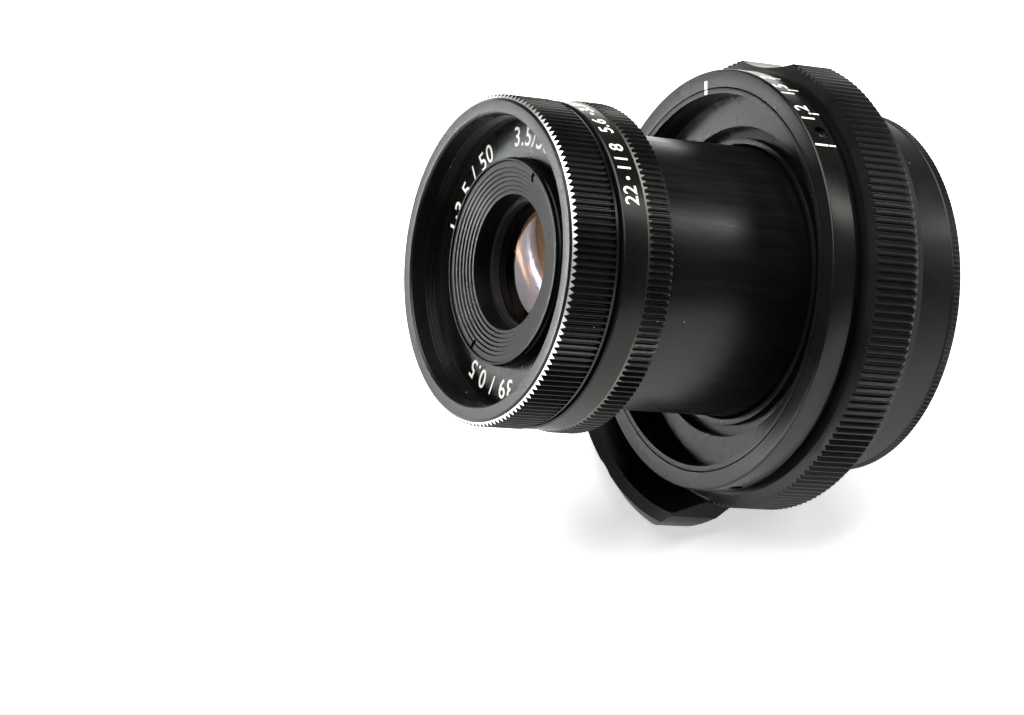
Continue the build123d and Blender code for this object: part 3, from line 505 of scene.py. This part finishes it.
sector_reach, sector_rear, sector_front = 45.0, -1.0, 20.0
tab_clock, tab_half_arc, notch_clock, notch_half_arc = 180.0, 30.5, -33.5, 12.0
sector_form = bmesh.new()
for middle, half_arc in ((tab_clock, tab_half_arc), (notch_clock, notch_half_arc)):
    headings = [radians(middle + offset) for offset in (-half_arc, 0, half_arc)]
    wedge = [(0, 0)] + [(sector_reach * sin(heading), sector_reach * cos(heading)) for heading in headings]
    low = [sector_form.verts.new((*corner, sector_rear)) for corner in wedge]
    high = [sector_form.verts.new((*corner, sector_front)) for corner in wedge]
    sector_form.faces.new(low)
    sector_form.faces.new(high)
    for k in range(len(wedge)):
        n = (k + 1) % len(wedge)
        sector_form.faces.new((low[k], low[n], high[n], high[k]))
bmesh.ops.recalc_face_normals(sector_form, faces=sector_form.faces)
sectors = put("sectors", formed("sectors", sector_form))


def carved(piece, operation, other):
    """The mesh of a piece after an exact difference or intersection with another."""
    step = piece.modifiers.new("carve", "BOOLEAN")
    step.operation, step.object, step.solver = operation, other, "EXACT"
    result = bpy.data.meshes.new_from_object(piece.evaluated_get(bpy.context.evaluated_depsgraph_get()))
    piece.modifiers.clear()
    return result


one_point = 1e-6
milled_form = bmesh.new()
milled_form.from_mesh(nodes["focus_ring"].data)
bmesh.ops.remove_doubles(milled_form, verts=milled_form.verts, dist=one_point)
milled_form.transform(lens_to_frame.inverted())
milled = put("milled_parts", formed("milled_parts", milled_form))
joined_form = bmesh.new()
joined_form.from_mesh(carved(focus_ring, "DIFFERENCE", sectors))
joined_form.from_mesh(carved(milled, "INTERSECT", sectors))
for face in joined_form.faces:
    face.material_index = 0
joined_form.to_mesh(focus_ring.data)
joined_form.free()
bpy.data.objects.remove(sectors)
bpy.data.objects.remove(milled)
smoothed(lay(focus_ring), angle=14)
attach(focus_ring, "focus_ring")
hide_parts("focus_ring")

# --------------------------------------------------------------------------------------------------
# Scale barrel: the front of the focusing barrel, turned from aluminium and anodised satin black, and held by
# three set screws. Its distance numerals and lines are engraved and filled with white paint, which is also
# given a faint glow of its own, a painted brightness.

satin_black = metal_finish("satin_black", ((0.006, 0.0059, 0.0057), (0.009, 0.0088, 0.0084)), (0.24, 0.34),
                           marks=0.75, depth=0.006, wear=rubbed_share, bare=(0.35, 0.33, 0.3), specks=0.05,
                           shine=0.34)
scale_radius, scale_rear, scale_front, scale_edge = 29.1, 10.8, 14.7, 0.2
neck_radius, neck_rear, groove_radius = 28.0, 9.6, 21.5
recess_radius, recess_floor, trim_radius, trim_depth = 25.75, 10.9, 26.6, 1.2
scale_outline = [(groove_radius, neck_rear), (neck_radius, neck_rear), (neck_radius, scale_rear),
                 (scale_radius - scale_edge, scale_rear), (scale_radius, scale_rear + scale_edge),
                 (scale_radius, scale_front - scale_edge), (scale_radius - scale_edge, scale_front),
                 (trim_radius, scale_front), (trim_radius, scale_front - trim_depth),
                 (recess_radius, scale_front - trim_depth), (recess_radius, recess_floor),
                 (groove_radius, recess_floor)]
scale_barrel = turned("scale_barrel_turned", scale_outline, steps=288, ease=0.09)

screw_clocks, screw_radius, screw_height = (8.2, 128.2, 248.2), 1.0, 12.3
screw_floor, screw_reach = 27.0, 4.0


def facing(clock, radius, height):
    """A place on the lens's side, with its x against the clock, y forwards and z outwards."""
    away = Vector((sin(radians(clock)), cos(radians(clock)), 0))
    forwards = Vector((0, 0, 1))
    spot = Matrix((forwards.cross(away), forwards, away)).transposed().to_4x4()
    return Matrix.Translation(away * radius + forwards * height) @ spot


def drilled(piece, places, radius, depth_out):
    """Drill round holes into a piece, each from its place outwards."""
    drill_form = bmesh.new()
    for place in places:
        start = place @ Matrix.Translation((0, 0, depth_out / 2))
        bmesh.ops.create_cone(drill_form, cap_ends=True, segments=32, radius1=radius, radius2=radius,
                              depth=depth_out, matrix=start)
    drill = put("drill", formed("drill", drill_form))
    piece.data = carved(piece, "DIFFERENCE", drill)
    bpy.data.objects.remove(drill)
    return piece


screw_places = [facing(clock, screw_floor, screw_height) for clock in screw_clocks]
drilled(scale_barrel, screw_places, screw_radius, screw_reach)
scale_barrel.data.materials.clear()
scale_barrel.data.materials.append(satin_black)
smoothed(lay(scale_barrel))
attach(scale_barrel, "focus_barrel")
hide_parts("scale_barrel")
coat("scale_screws", screw_steel)

clean_white, dull_white = (0.86, 0.85, 0.8), (0.66, 0.64, 0.58)
fill_grain_size, fill_roughness_depth = 0.07, 0.02
# Painted glow: the white fill also emits light in its own colour, so the marks glow faintly with no lamp.
glowing_white_fill, fill_tree, fill_shader, fill_place = new_finish("glowing_white_fill", Roughness=0.55,
                                                            Emission_Strength=0.22)
fill_grain = place_group(fill_tree, grain, {"Place": fill_place, "Size": fill_grain_size})["Height"]
fill_tone = mixed(fill_tree, between(fill_tree, fill_grain, 0, 1), clean_white, dull_white)
fill_tree.links.new(fill_tone, fill_shader.inputs["Base Color"])
fill_tree.links.new(fill_tone, fill_shader.inputs["Emission Color"])
fill_values = {"Height": fill_grain, "Distance": fill_roughness_depth * mm}
fill_relief = add(fill_tree, "ShaderNodeBump", values=fill_values)
fill_tree.links.new(fill_relief.outputs[0], fill_shader.inputs["Normal"])

paint_proud, paint_sunk = 0.02, 0.05
paint_depth = paint_proud + paint_sunk
paint_middle = (paint_proud - paint_sunk) / 2


def text_mesh(words, size, narrow=0.98, weight=0.03, spacing=1.05):
    """A mesh of filled letters, centred, in millimetres, with its thickness through its own z = 0."""
    curve = bpy.data.curves.new("words", "FONT")
    curve.body, curve.size, curve.align_x, curve.align_y = words, size, "CENTER", "CENTER"
    curve.space_character, curve.offset, curve.resolution_u = spacing, weight, 6
    curve.extrude = paint_depth / 2
    holder = put("words", curve)
    letters = bpy.data.meshes.new_from_object(holder.evaluated_get(bpy.context.evaluated_depsgraph_get()))
    bpy.data.objects.remove(holder)
    letters.transform(Matrix.Translation((0, 0, paint_middle)) @ Matrix.Scale(narrow, 4, (1, 0, 0)))
    return letters


def bar_mesh(width, height):
    """A mesh of one short painted line."""
    bar_form = bmesh.new()
    bmesh.ops.create_cube(bar_form, size=1)
    bmesh.ops.scale(bar_form, verts=bar_form.verts, vec=(width, height, paint_depth))
    bmesh.ops.translate(bar_form, verts=bar_form.verts, vec=(0, 0, paint_middle))
    return formed("bar", bar_form)


def dot_mesh(radius):
    """A mesh of one round painted dot."""
    dot_form = bmesh.new()
    bmesh.ops.create_cone(dot_form, cap_ends=True, segments=20, radius1=radius, radius2=radius,
                          depth=paint_depth)
    bmesh.ops.translate(dot_form, verts=dot_form.verts, vec=(0, 0, paint_middle))
    return formed("dot", dot_form)


def round_the_side(clock, radius, height):
    """Bend marks round the side of a ring: letters stand with their tops to the front."""
    def bent(spot):
        turn_to = radians(clock) - spot.x / radius
        reach_to = radius + spot.z
        return Vector((reach_to * sin(turn_to), reach_to * cos(turn_to), height + spot.y))
    return bent


def round_the_face(clock, radius, height):
    """Bend marks round the face of a ring: letters stand with their tops outwards."""
    def bent(spot):
        turn_to = radians(clock) + spot.x / radius
        return Vector(((radius + spot.y) * sin(turn_to), (radius + spot.y) * cos(turn_to), height + spot.z))
    return bent


same_corner = 1e-5


def painted(name, marks):
    """One piece of white paint, with a faint painted glow, from a list of (mesh, bend) marks."""
    form = bmesh.new()
    for mark, bend_to in marks:
        part = bmesh.new()
        part.from_mesh(mark)
        bmesh.ops.remove_doubles(part, verts=part.verts, dist=same_corner)
        for corner in part.verts:
            corner.co = bend_to(corner.co)
        bent_mesh = formed("mark", part)
        form.from_mesh(bent_mesh)
        bpy.data.meshes.remove(bent_mesh)
    bmesh.ops.recalc_face_normals(form, faces=form.faces)
    paint = put(name, formed(name, form))
    paint.data.materials.append(glowing_white_fill)
    return lay(paint)


distances = {"1": 13.0, "1.2": 0.8, "1.5": -11.3, "2": -20.5, "3": -31.5, "5": -40.5, "10": -48.5}
distance_size, distance_height = 3.0, 13.1
tick_width, tick_length, tick_height = 0.28, 1.1, 11.45
scale_marks = []
for words, clock in distances.items():
    numerals = text_mesh(words, distance_size)
    scale_marks.append((numerals, round_the_side(clock, scale_radius, distance_height)))
    tick = bar_mesh(tick_width, tick_length)
    scale_marks.append((tick, round_the_side(clock, scale_radius, tick_height)))
distance_paint = painted("distance_paint", scale_marks)
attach(distance_paint, "focus_barrel")

# --------------------------------------------------------------------------------------------------
# Trim ring and guide collar: a thin ring pressed into the barrel's face with a fine groove round it, and the
# collar that the tube slides in. The index line for the aperture is filled on the face, across the groove,
# with the white paint and its faint painted glow.

trim_outer, trim_inner, trim_rear = 26.48, 25.75, scale_front - trim_depth
trim_outline = [(trim_inner, trim_rear), (trim_outer, trim_rear), (trim_outer, scale_front),
                (trim_inner, scale_front)]
trim_ring = turned("trim_ring_turned", trim_outline, steps=288)
trim_ring.data.materials.append(satin_black)
smoothed(lay(trim_ring))
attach(trim_ring, "focus_barrel")
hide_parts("trim_ring")

collar_bore, collar_rear, collar_lip, collar_outer = 18.75, 4.9, 19.9, 21.8
pocket_radius, pocket_rear, pocket_front, collar_chamfer = 20.45, 6.6, 7.9, 0.35
collar_outline = [(collar_bore, collar_rear), (collar_outer, collar_rear), (collar_outer, neck_rear),
                  (collar_lip, neck_rear), (collar_lip, recess_floor),
                  (collar_bore + collar_chamfer, recess_floor),
                  (collar_bore, recess_floor - collar_chamfer), (collar_bore, pocket_front),
                  (pocket_radius, pocket_front), (pocket_radius, pocket_rear), (collar_bore, pocket_rear)]
guide_collar = turned("guide_collar_turned", collar_outline)
guide_collar.data.materials.append(satin_black)
smoothed(lay(guide_collar))
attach(guide_collar, "focus_barrel")
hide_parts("guide_collar")

index_clock, index_width, index_from, index_to = -45.6, 0.7, 25.85, 27.75
index_marks = []
for inner, outer in ((trim_radius, index_to), (index_from, trim_outer)):
    bar = bar_mesh(index_width, outer - inner)
    index_marks.append((bar, round_the_face(index_clock, (outer + inner) / 2, scale_front)))
index_paint = painted("index_paint", index_marks)
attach(index_paint, "focus_barrel")

# --------------------------------------------------------------------------------------------------
# Friction ring: a band of pressed felt, laid in the pocket of the collar. It rubs on the tube and holds it
# where it is pulled to.

dark_felt, worn_felt, fibre_size, nap_depth = (0.03, 0.026, 0.022), (0.07, 0.06, 0.05), 0.12, 0.08
felt, felt_tree, felt_shader, felt_place = new_finish("pressed_felt", Roughness=0.95)
felt_fibre = place_group(felt_tree, grain, {"Place": felt_place, "Size": fibre_size})["Height"]
felt_tone = mixed(felt_tree, between(felt_tree, felt_fibre, 0, 1), dark_felt, worn_felt)
felt_tree.links.new(felt_tone, felt_shader.inputs["Base Color"])
felt_nap = add(felt_tree, "ShaderNodeBump", values={"Height": felt_fibre, "Distance": nap_depth * mm})
felt_tree.links.new(felt_nap.outputs[0], felt_shader.inputs["Normal"])
coat("friction_ring", felt)

# --------------------------------------------------------------------------------------------------
# Collapsible tube: drawn aluminium tube, black anodised. It slides in its collar and carries the lens head.
# The sliding leaves long faint rub marks along it.

tube_radius, tube_bore, tube_rear, tube_front = 18.7, 17.7, 3.6, 35.0
streak_stretch, streak_scale, tube_mark_pitch, tube_grain_size, tube_specks = 0.004, 26.0, 0.06, 0.2, 0.05
deep_black, rubbed_black, tube_dust = (0.005, 0.0048, 0.0045), (0.009, 0.0086, 0.008), (0.4, 0.38, 0.34)
ring_share, streak_share, tube_relief_depth = 0.6, 0.4, 0.006
tube_black, tube_tree, tube_shader, tube_place = new_finish("tube_black", IOR=film_ior,
                                                            Specular_IOR_Level=0.42)
tube_parts = add(tube_tree, "ShaderNodeSeparateXYZ", values={0: tube_place}).outputs
tube_turn = math(tube_tree, "ARCTAN2", tube_parts[1], tube_parts[0])
tube_streak_place = add(tube_tree, "ShaderNodeCombineXYZ", values={
    0: math(tube_tree, "COSINE", tube_turn), 1: math(tube_tree, "SINE", tube_turn),
    2: math(tube_tree, "MULTIPLY", tube_parts[2], streak_stretch)}).outputs[0]
tube_streaks = add(tube_tree, "ShaderNodeTexNoise", values={
    "Vector": tube_streak_place, "Scale": streak_scale, "Detail": 6.0}).outputs["Fac"]
tube_rings = place_group(tube_tree, lathe_marks, {"Place": tube_place, "Pitch": tube_mark_pitch})["Height"]
tube_grain = place_group(tube_tree, grain, {"Place": tube_place, "Size": tube_grain_size})
tube_speck = place_group(tube_tree, dust, {"Place": tube_place, "Amount": tube_specks})["Speck"]
tube_tone = mixed(tube_tree, between(tube_tree, tube_streaks, 0, 1), deep_black, rubbed_black)
tube_colour = mixed(tube_tree, tube_speck, tube_tone, tube_dust)
tube_tree.links.new(tube_colour, tube_shader.inputs["Base Color"])
tube_gloss = math(tube_tree, "ADD", between(tube_tree, tube_streaks, -0.03, 0.05),
                  between(tube_tree, tube_grain["Blotch"], 0.3, 0.37))
tube_tree.links.new(tube_gloss, tube_shader.inputs["Roughness"])
tube_height = math(tube_tree, "ADD", math(tube_tree, "MULTIPLY", tube_rings, ring_share),
                   math(tube_tree, "MULTIPLY", tube_streaks, streak_share))
tube_values = {"Height": tube_height, "Distance": tube_relief_depth * mm}
tube_relief = add(tube_tree, "ShaderNodeBump", values=tube_values)
tube_tree.links.new(tube_relief.outputs[0], tube_shader.inputs["Normal"])
tube_outline = [(tube_bore, tube_rear), (tube_radius, tube_rear), (tube_radius, tube_front),
                (tube_bore, tube_front)]
tube = turned("tube_turned", tube_outline)
tube.data.materials.append(tube_black)
smoothed(lay(tube))
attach(tube, "head")
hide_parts("collapsible_tube")

# --------------------------------------------------------------------------------------------------
# Aperture ring: a knurled grip behind a smooth band, with a bright turned line between them. The aperture
# numbers are engraved on the band and filled with white paint; dots stand for the stops between. The paint
# has a faint glow of its own, a painted brightness.

aperture_radius, band_radius, aperture_bore = 22.35, 22.05, 19.25
aperture_rear, grip_end, band_start, aperture_front = 35.2, 38.45, 39.15, 42.8
aperture_edge, shoulder_slope = 0.2, 0.2
aperture_outline = [(aperture_bore, aperture_rear), (aperture_radius - aperture_edge, aperture_rear),
                    (aperture_radius, aperture_rear + aperture_edge), (aperture_radius, grip_end),
                    (band_radius, band_start), (band_radius, aperture_front - aperture_edge),
                    (band_radius - aperture_edge, aperture_front), (aperture_bore, aperture_front)]
aperture_ring = turned("aperture_ring_knurled", aperture_outline, steps=288, ease=0.05)
knurled(aperture_ring, satin_black, grooves=150, crest=aperture_radius, depth=0.42, rear=aperture_rear - 0.3,
        front=grip_end + 0.45)
shoulder_metal = metal_finish("shoulder_metal", ((0.1, 0.097, 0.093), (0.08, 0.078, 0.075)), (0.34, 0.46),
                              marks=0.8, depth=0.005, metallic=1.0, specks=0.0, rounding=0.01)
aperture_ring.data.materials.append(shoulder_metal)
for face in aperture_ring.data.polygons:
    on_shoulder = grip_end - 0.02 < face.center.z < band_start and face.center.xy.length > band_radius
    if on_shoulder and face.normal.z > shoulder_slope:
        face.material_index = 1
smoothed(lay(aperture_ring))
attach(aperture_ring, "aperture_ring")
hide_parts("aperture_ring")

stops = {"22": 27.0, "11": 14.3, "8": 7.0, "5.6": -5.2, "3.5": -20.5}
between_stops, dot_radius = (20.5, -14.0), 0.3
stop_size, stop_height = 2.9, 40.95
stop_marks = [(text_mesh(words, stop_size), round_the_side(clock, band_radius, stop_height))
              for words, clock in stops.items()]
stop_marks += [(dot_mesh(dot_radius), round_the_side(clock, band_radius, stop_height))
               for clock in between_stops]
stop_paint = painted("aperture_paint", stop_marks)
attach(stop_paint, "aperture_ring")

# --------------------------------------------------------------------------------------------------
# Iris blades: eight thin leaves of blued steel with a faint rolled grain, stamped from sheet and fitted dry
# between the iris's base plate and its cam ring.

blade_steel = metal_finish("blade_steel", ((0.06, 0.05, 0.042), (0.09, 0.075, 0.06)), (0.4, 0.52), marks=0.1,
                           depth=0.004, metallic=0.7, specks=0.0)
for node in nodes:
    if node.startswith("iris_blade_"):
        coat(node, blade_steel)

# --------------------------------------------------------------------------------------------------
# Front bezel: a knurled aluminium ring with the filter thread inside, screwed to the head. Its front chamfer
# is cut after anodising, so the bare metal shows as a bright zigzag where the chamfer meets the teeth.

bezel_radius, bezel_lip, bezel_rim, bezel_flange = 22.15, 21.95, 21.3, 20.8
bezel_rear, bezel_knurl_rear, bezel_knurl_front, bezel_front = 43.5, 44.0, 50.0, 50.7
bare_radius, bare_height, bare_slope, mouth_edge = 21.6, 50.45, 0.4, 0.25
filter_radius, thread_rear, thread_front, thread_pitch, thread_depth = 19.5, 46.15, 48.3, 0.43, 0.24
crest_end, root_start, root_end = 0.12, 0.2, 0.33
seat_radius, seat_height = 19.3, 45.95
thread_turns = int((thread_front - thread_rear) / thread_pitch)
thread_wall = []
for thread_turn in range(thread_turns):
    top = thread_front - thread_turn * thread_pitch
    thread_wall += [(seat_radius, top), (seat_radius, top - crest_end),
                    (seat_radius + thread_depth, top - root_start),
                    (seat_radius + thread_depth, top - root_end)]
bezel_outline = [(bezel_flange, bezel_rear), (bezel_lip, bezel_rear), (bezel_lip, bezel_knurl_rear),
                 (bezel_radius, bezel_knurl_rear), (bezel_radius, bezel_knurl_front),
                 (bare_radius, bare_height), (bezel_rim, bezel_front),
                 (filter_radius + mouth_edge, bezel_front), (filter_radius, bezel_front - mouth_edge),
                 (filter_radius, thread_front), *thread_wall,
                 (seat_radius, seat_height), (bezel_flange, seat_height)]
bezel = turned("bezel_knurled", bezel_outline, steps=288, ease=0.04)
knurled(bezel, satin_black, grooves=150, crest=bezel_radius, depth=0.46, rear=bezel_knurl_rear + 0.02,
        front=bezel_front + 0.3)
bare_metal = metal_finish("bare_metal", ((0.9, 0.89, 0.87), (0.82, 0.81, 0.79)), (0.28, 0.4), marks=0.8,
                          depth=0.005, wear=0.0, metallic=1.0, specks=0.0, rounding=0.01)
bezel.data.materials.append(bare_metal)
for face in bezel.data.polygons:
    on_chamfer = face.center.z > bezel_knurl_front - 0.05 and face.center.xy.length > bare_radius
    if on_chamfer and face.normal.z > bare_slope:
        face.material_index = 1
smoothed(lay(bezel))
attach(bezel, "head")
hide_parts("front_bezel")

# --------------------------------------------------------------------------------------------------
# Name ring: a flat satin black ring of aluminium, clamped on its seat inside the bezel. Its figures give the
# aperture, the focal length and the thread, and are engraved and filled with white paint, which has a faint
# painted glow.

name_inner, name_outer, name_rear, name_front = 14.05, 19.3, 45.0, 45.9
name_outline = [(name_inner, name_rear), (name_outer, name_rear), (name_outer, name_front),
                (name_inner, name_front)]
name_ring = turned("name_ring_turned", name_outline)
name_ring.data.materials.append(satin_black)
smoothed(lay(name_ring))
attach(name_ring, "head")
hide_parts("name_ring")

name_size, name_radius, name_narrow, name_spacing = 3.7, 16.8, 0.92, 1.12
name_words = {"3.5/50": -29.5, "1:3.5 / 50": -90.0, "39 / 0.5": 156.0}
name_marks = []
for words, clock in name_words.items():
    figures = text_mesh(words, name_size, narrow=name_narrow, spacing=name_spacing)
    name_marks.append((figures, round_the_face(clock, name_radius, name_front)))
name_paint = painted("name_paint", name_marks)
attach(name_paint, "head")

# --------------------------------------------------------------------------------------------------
# Front cell and baffle ring: the glossy black barrel round the front glass, and a ring screwed into it, with
# six steps that trap stray light. Two short slots take the key that turns it.

gloss_black = metal_finish("gloss_black", ((0.005, 0.0049, 0.0048), (0.008, 0.0078, 0.0075)), (0.2, 0.28),
                           marks=0.8, depth=0.006, wear=rubbed_share, bare=(0.25, 0.24, 0.22), shine=0.16)
cell_outer, cell_neck, cell_front, cell_rear, lock_radius = 14.0, 13.8, 48.0, 39.3, 13.5
shoulder_front, neck_start = 47.3, 47.5
glass_bore, glass_seat, second_bore, second_seat, cell_ledge = 9.6, 40.9, 8.4, 40.6, 7.8
baffle_seat, baffle_front, baffle_radius, opening_radius, opening_height = 46.0, 47.8, 12.6, 9.1, 46.8
cell_outline = [(second_bore, cell_rear), (cell_outer, cell_rear), (cell_outer, shoulder_front),
                (cell_neck, neck_start), (cell_neck, cell_front), (lock_radius, cell_front),
                (lock_radius, baffle_seat), (glass_bore, baffle_seat), (glass_bore, glass_seat),
                (cell_ledge, glass_seat), (cell_ledge, second_seat), (second_bore, second_seat)]
front_cell = turned("front_cell_turned", cell_outline, steps=200, ease=0.08)
front_cell.data.materials.append(gloss_black)
smoothed(lay(front_cell))
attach(front_cell, "head")
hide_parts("front_cell")

baffle_steps, baffle_skirt, tread_share, riser_share = 6, 44.2, 0.8, 0.5
step_out = (baffle_radius - opening_radius) / baffle_steps
step_up = (baffle_front - opening_height) / baffle_steps
stairs = []
for step in range(baffle_steps):
    tread = (opening_radius + step * step_out, opening_height + step * step_up)
    stairs += [tread, (tread[0] + step_out * tread_share, tread[1]),
               (tread[0] + step_out, tread[1] + step_up * riser_share)]
baffle_outline = [*stairs, (baffle_radius, baffle_front), (lock_radius, baffle_front),
                  (lock_radius, baffle_seat), (glass_bore, baffle_seat), (glass_bore, baffle_skirt),
                  (opening_radius, baffle_skirt)]
baffle = turned("baffle_turned", baffle_outline, steps=200, ease=0.05)
baffle.data.materials.append(gloss_black)
slot_clock, slot_length, slot_width, slot_height, slot_reach = -9.0, 1.3, 0.6, 1.2, 12.8
slot_size = Matrix.Diagonal((slot_length, slot_width, slot_height, 1))
slot_form = bmesh.new()
for clock in (slot_clock, slot_clock + 180):
    slot_turn = Matrix.Rotation(radians(90 - clock), 4, "Z")
    slot_place = slot_turn @ Matrix.Translation((slot_reach, 0, baffle_front))
    bmesh.ops.create_cube(slot_form, size=1, matrix=slot_place @ slot_size)
slot_cutter = put("slots", formed("slots", slot_form))
baffle.data = carved(baffle, "DIFFERENCE", slot_cutter)
bpy.data.objects.remove(slot_cutter)
smoothed(lay(baffle))
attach(baffle, "head")
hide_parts("baffle_ring")

# --------------------------------------------------------------------------------------------------
# Glass: four elements, ground and polished, held in their cells by threaded rings. The front one has a soft
# coating that gives its reflections a brown and violet cast.


haze_size, haze_dimming, haze_roughness = 4.0, 0.985, 0.004


def coated_glass(name, tint, film):
    """Clear glass with a thin coating of a thickness in nanometres."""
    glass, tree, shader, place = new_finish(
        name, IOR=1.6, Metallic=0.0, Transmission_Weight=1.0, Coat_Weight=0.5, Coat_Roughness=0.0,
        Coat_IOR=1.5, Thin_Film_Thickness=film, Thin_Film_IOR=1.38)
    haze = place_group(tree, grain, {"Place": place, "Size": haze_size})["Blotch"]
    hazed_tint = [haze_dimming * part for part in tint]
    tree.links.new(mixed(tree, between(tree, haze, 0, 1), tint, hazed_tint), shader.inputs["Base Color"])
    tree.links.new(between(tree, haze, 0.0, haze_roughness), shader.inputs["Roughness"])
    return glass


front_glass = coated_glass("front_glass", (0.42, 0.29, 0.21), 130.0)
inner_glass = coated_glass("inner_glass", (0.95, 0.95, 0.96), 105.0)
front_element_radius, rim_rear_height, rim_front_height = 9.55, 40.95, 42.7
front_vertex, rear_vertex = 44.4, 41.2


def dome(radius, edge, vertex, count=14):
    """Points of a spherical face from its edge to its vertex, as (radius, height)."""
    sag = vertex - edge
    bulge = 1 if sag > 0 else -1
    curve_radius = (radius**2 + sag**2) / (2 * abs(sag))
    centre = vertex - curve_radius * bulge
    points = []
    for step in range(count + 1):
        out = radius * (1 - step / count)
        rise = (curve_radius**2 - out**2) ** 0.5
        points.append((out, centre + rise * bulge))
    return points


element_outline = [*dome(front_element_radius, rim_front_height, front_vertex),
                   *reversed(dome(front_element_radius, rim_rear_height, rear_vertex))]
front_element = turned("front_element_ground", element_outline, steps=128, ease=0.0)
front_element.data.materials.append(front_glass)
smoothed(lay(front_element), angle=40)
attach(front_element, "head")
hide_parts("front_element")
for inner_element in ("second_element", "rear_element_front", "rear_element_back"):
    coat(inner_element, inner_glass)
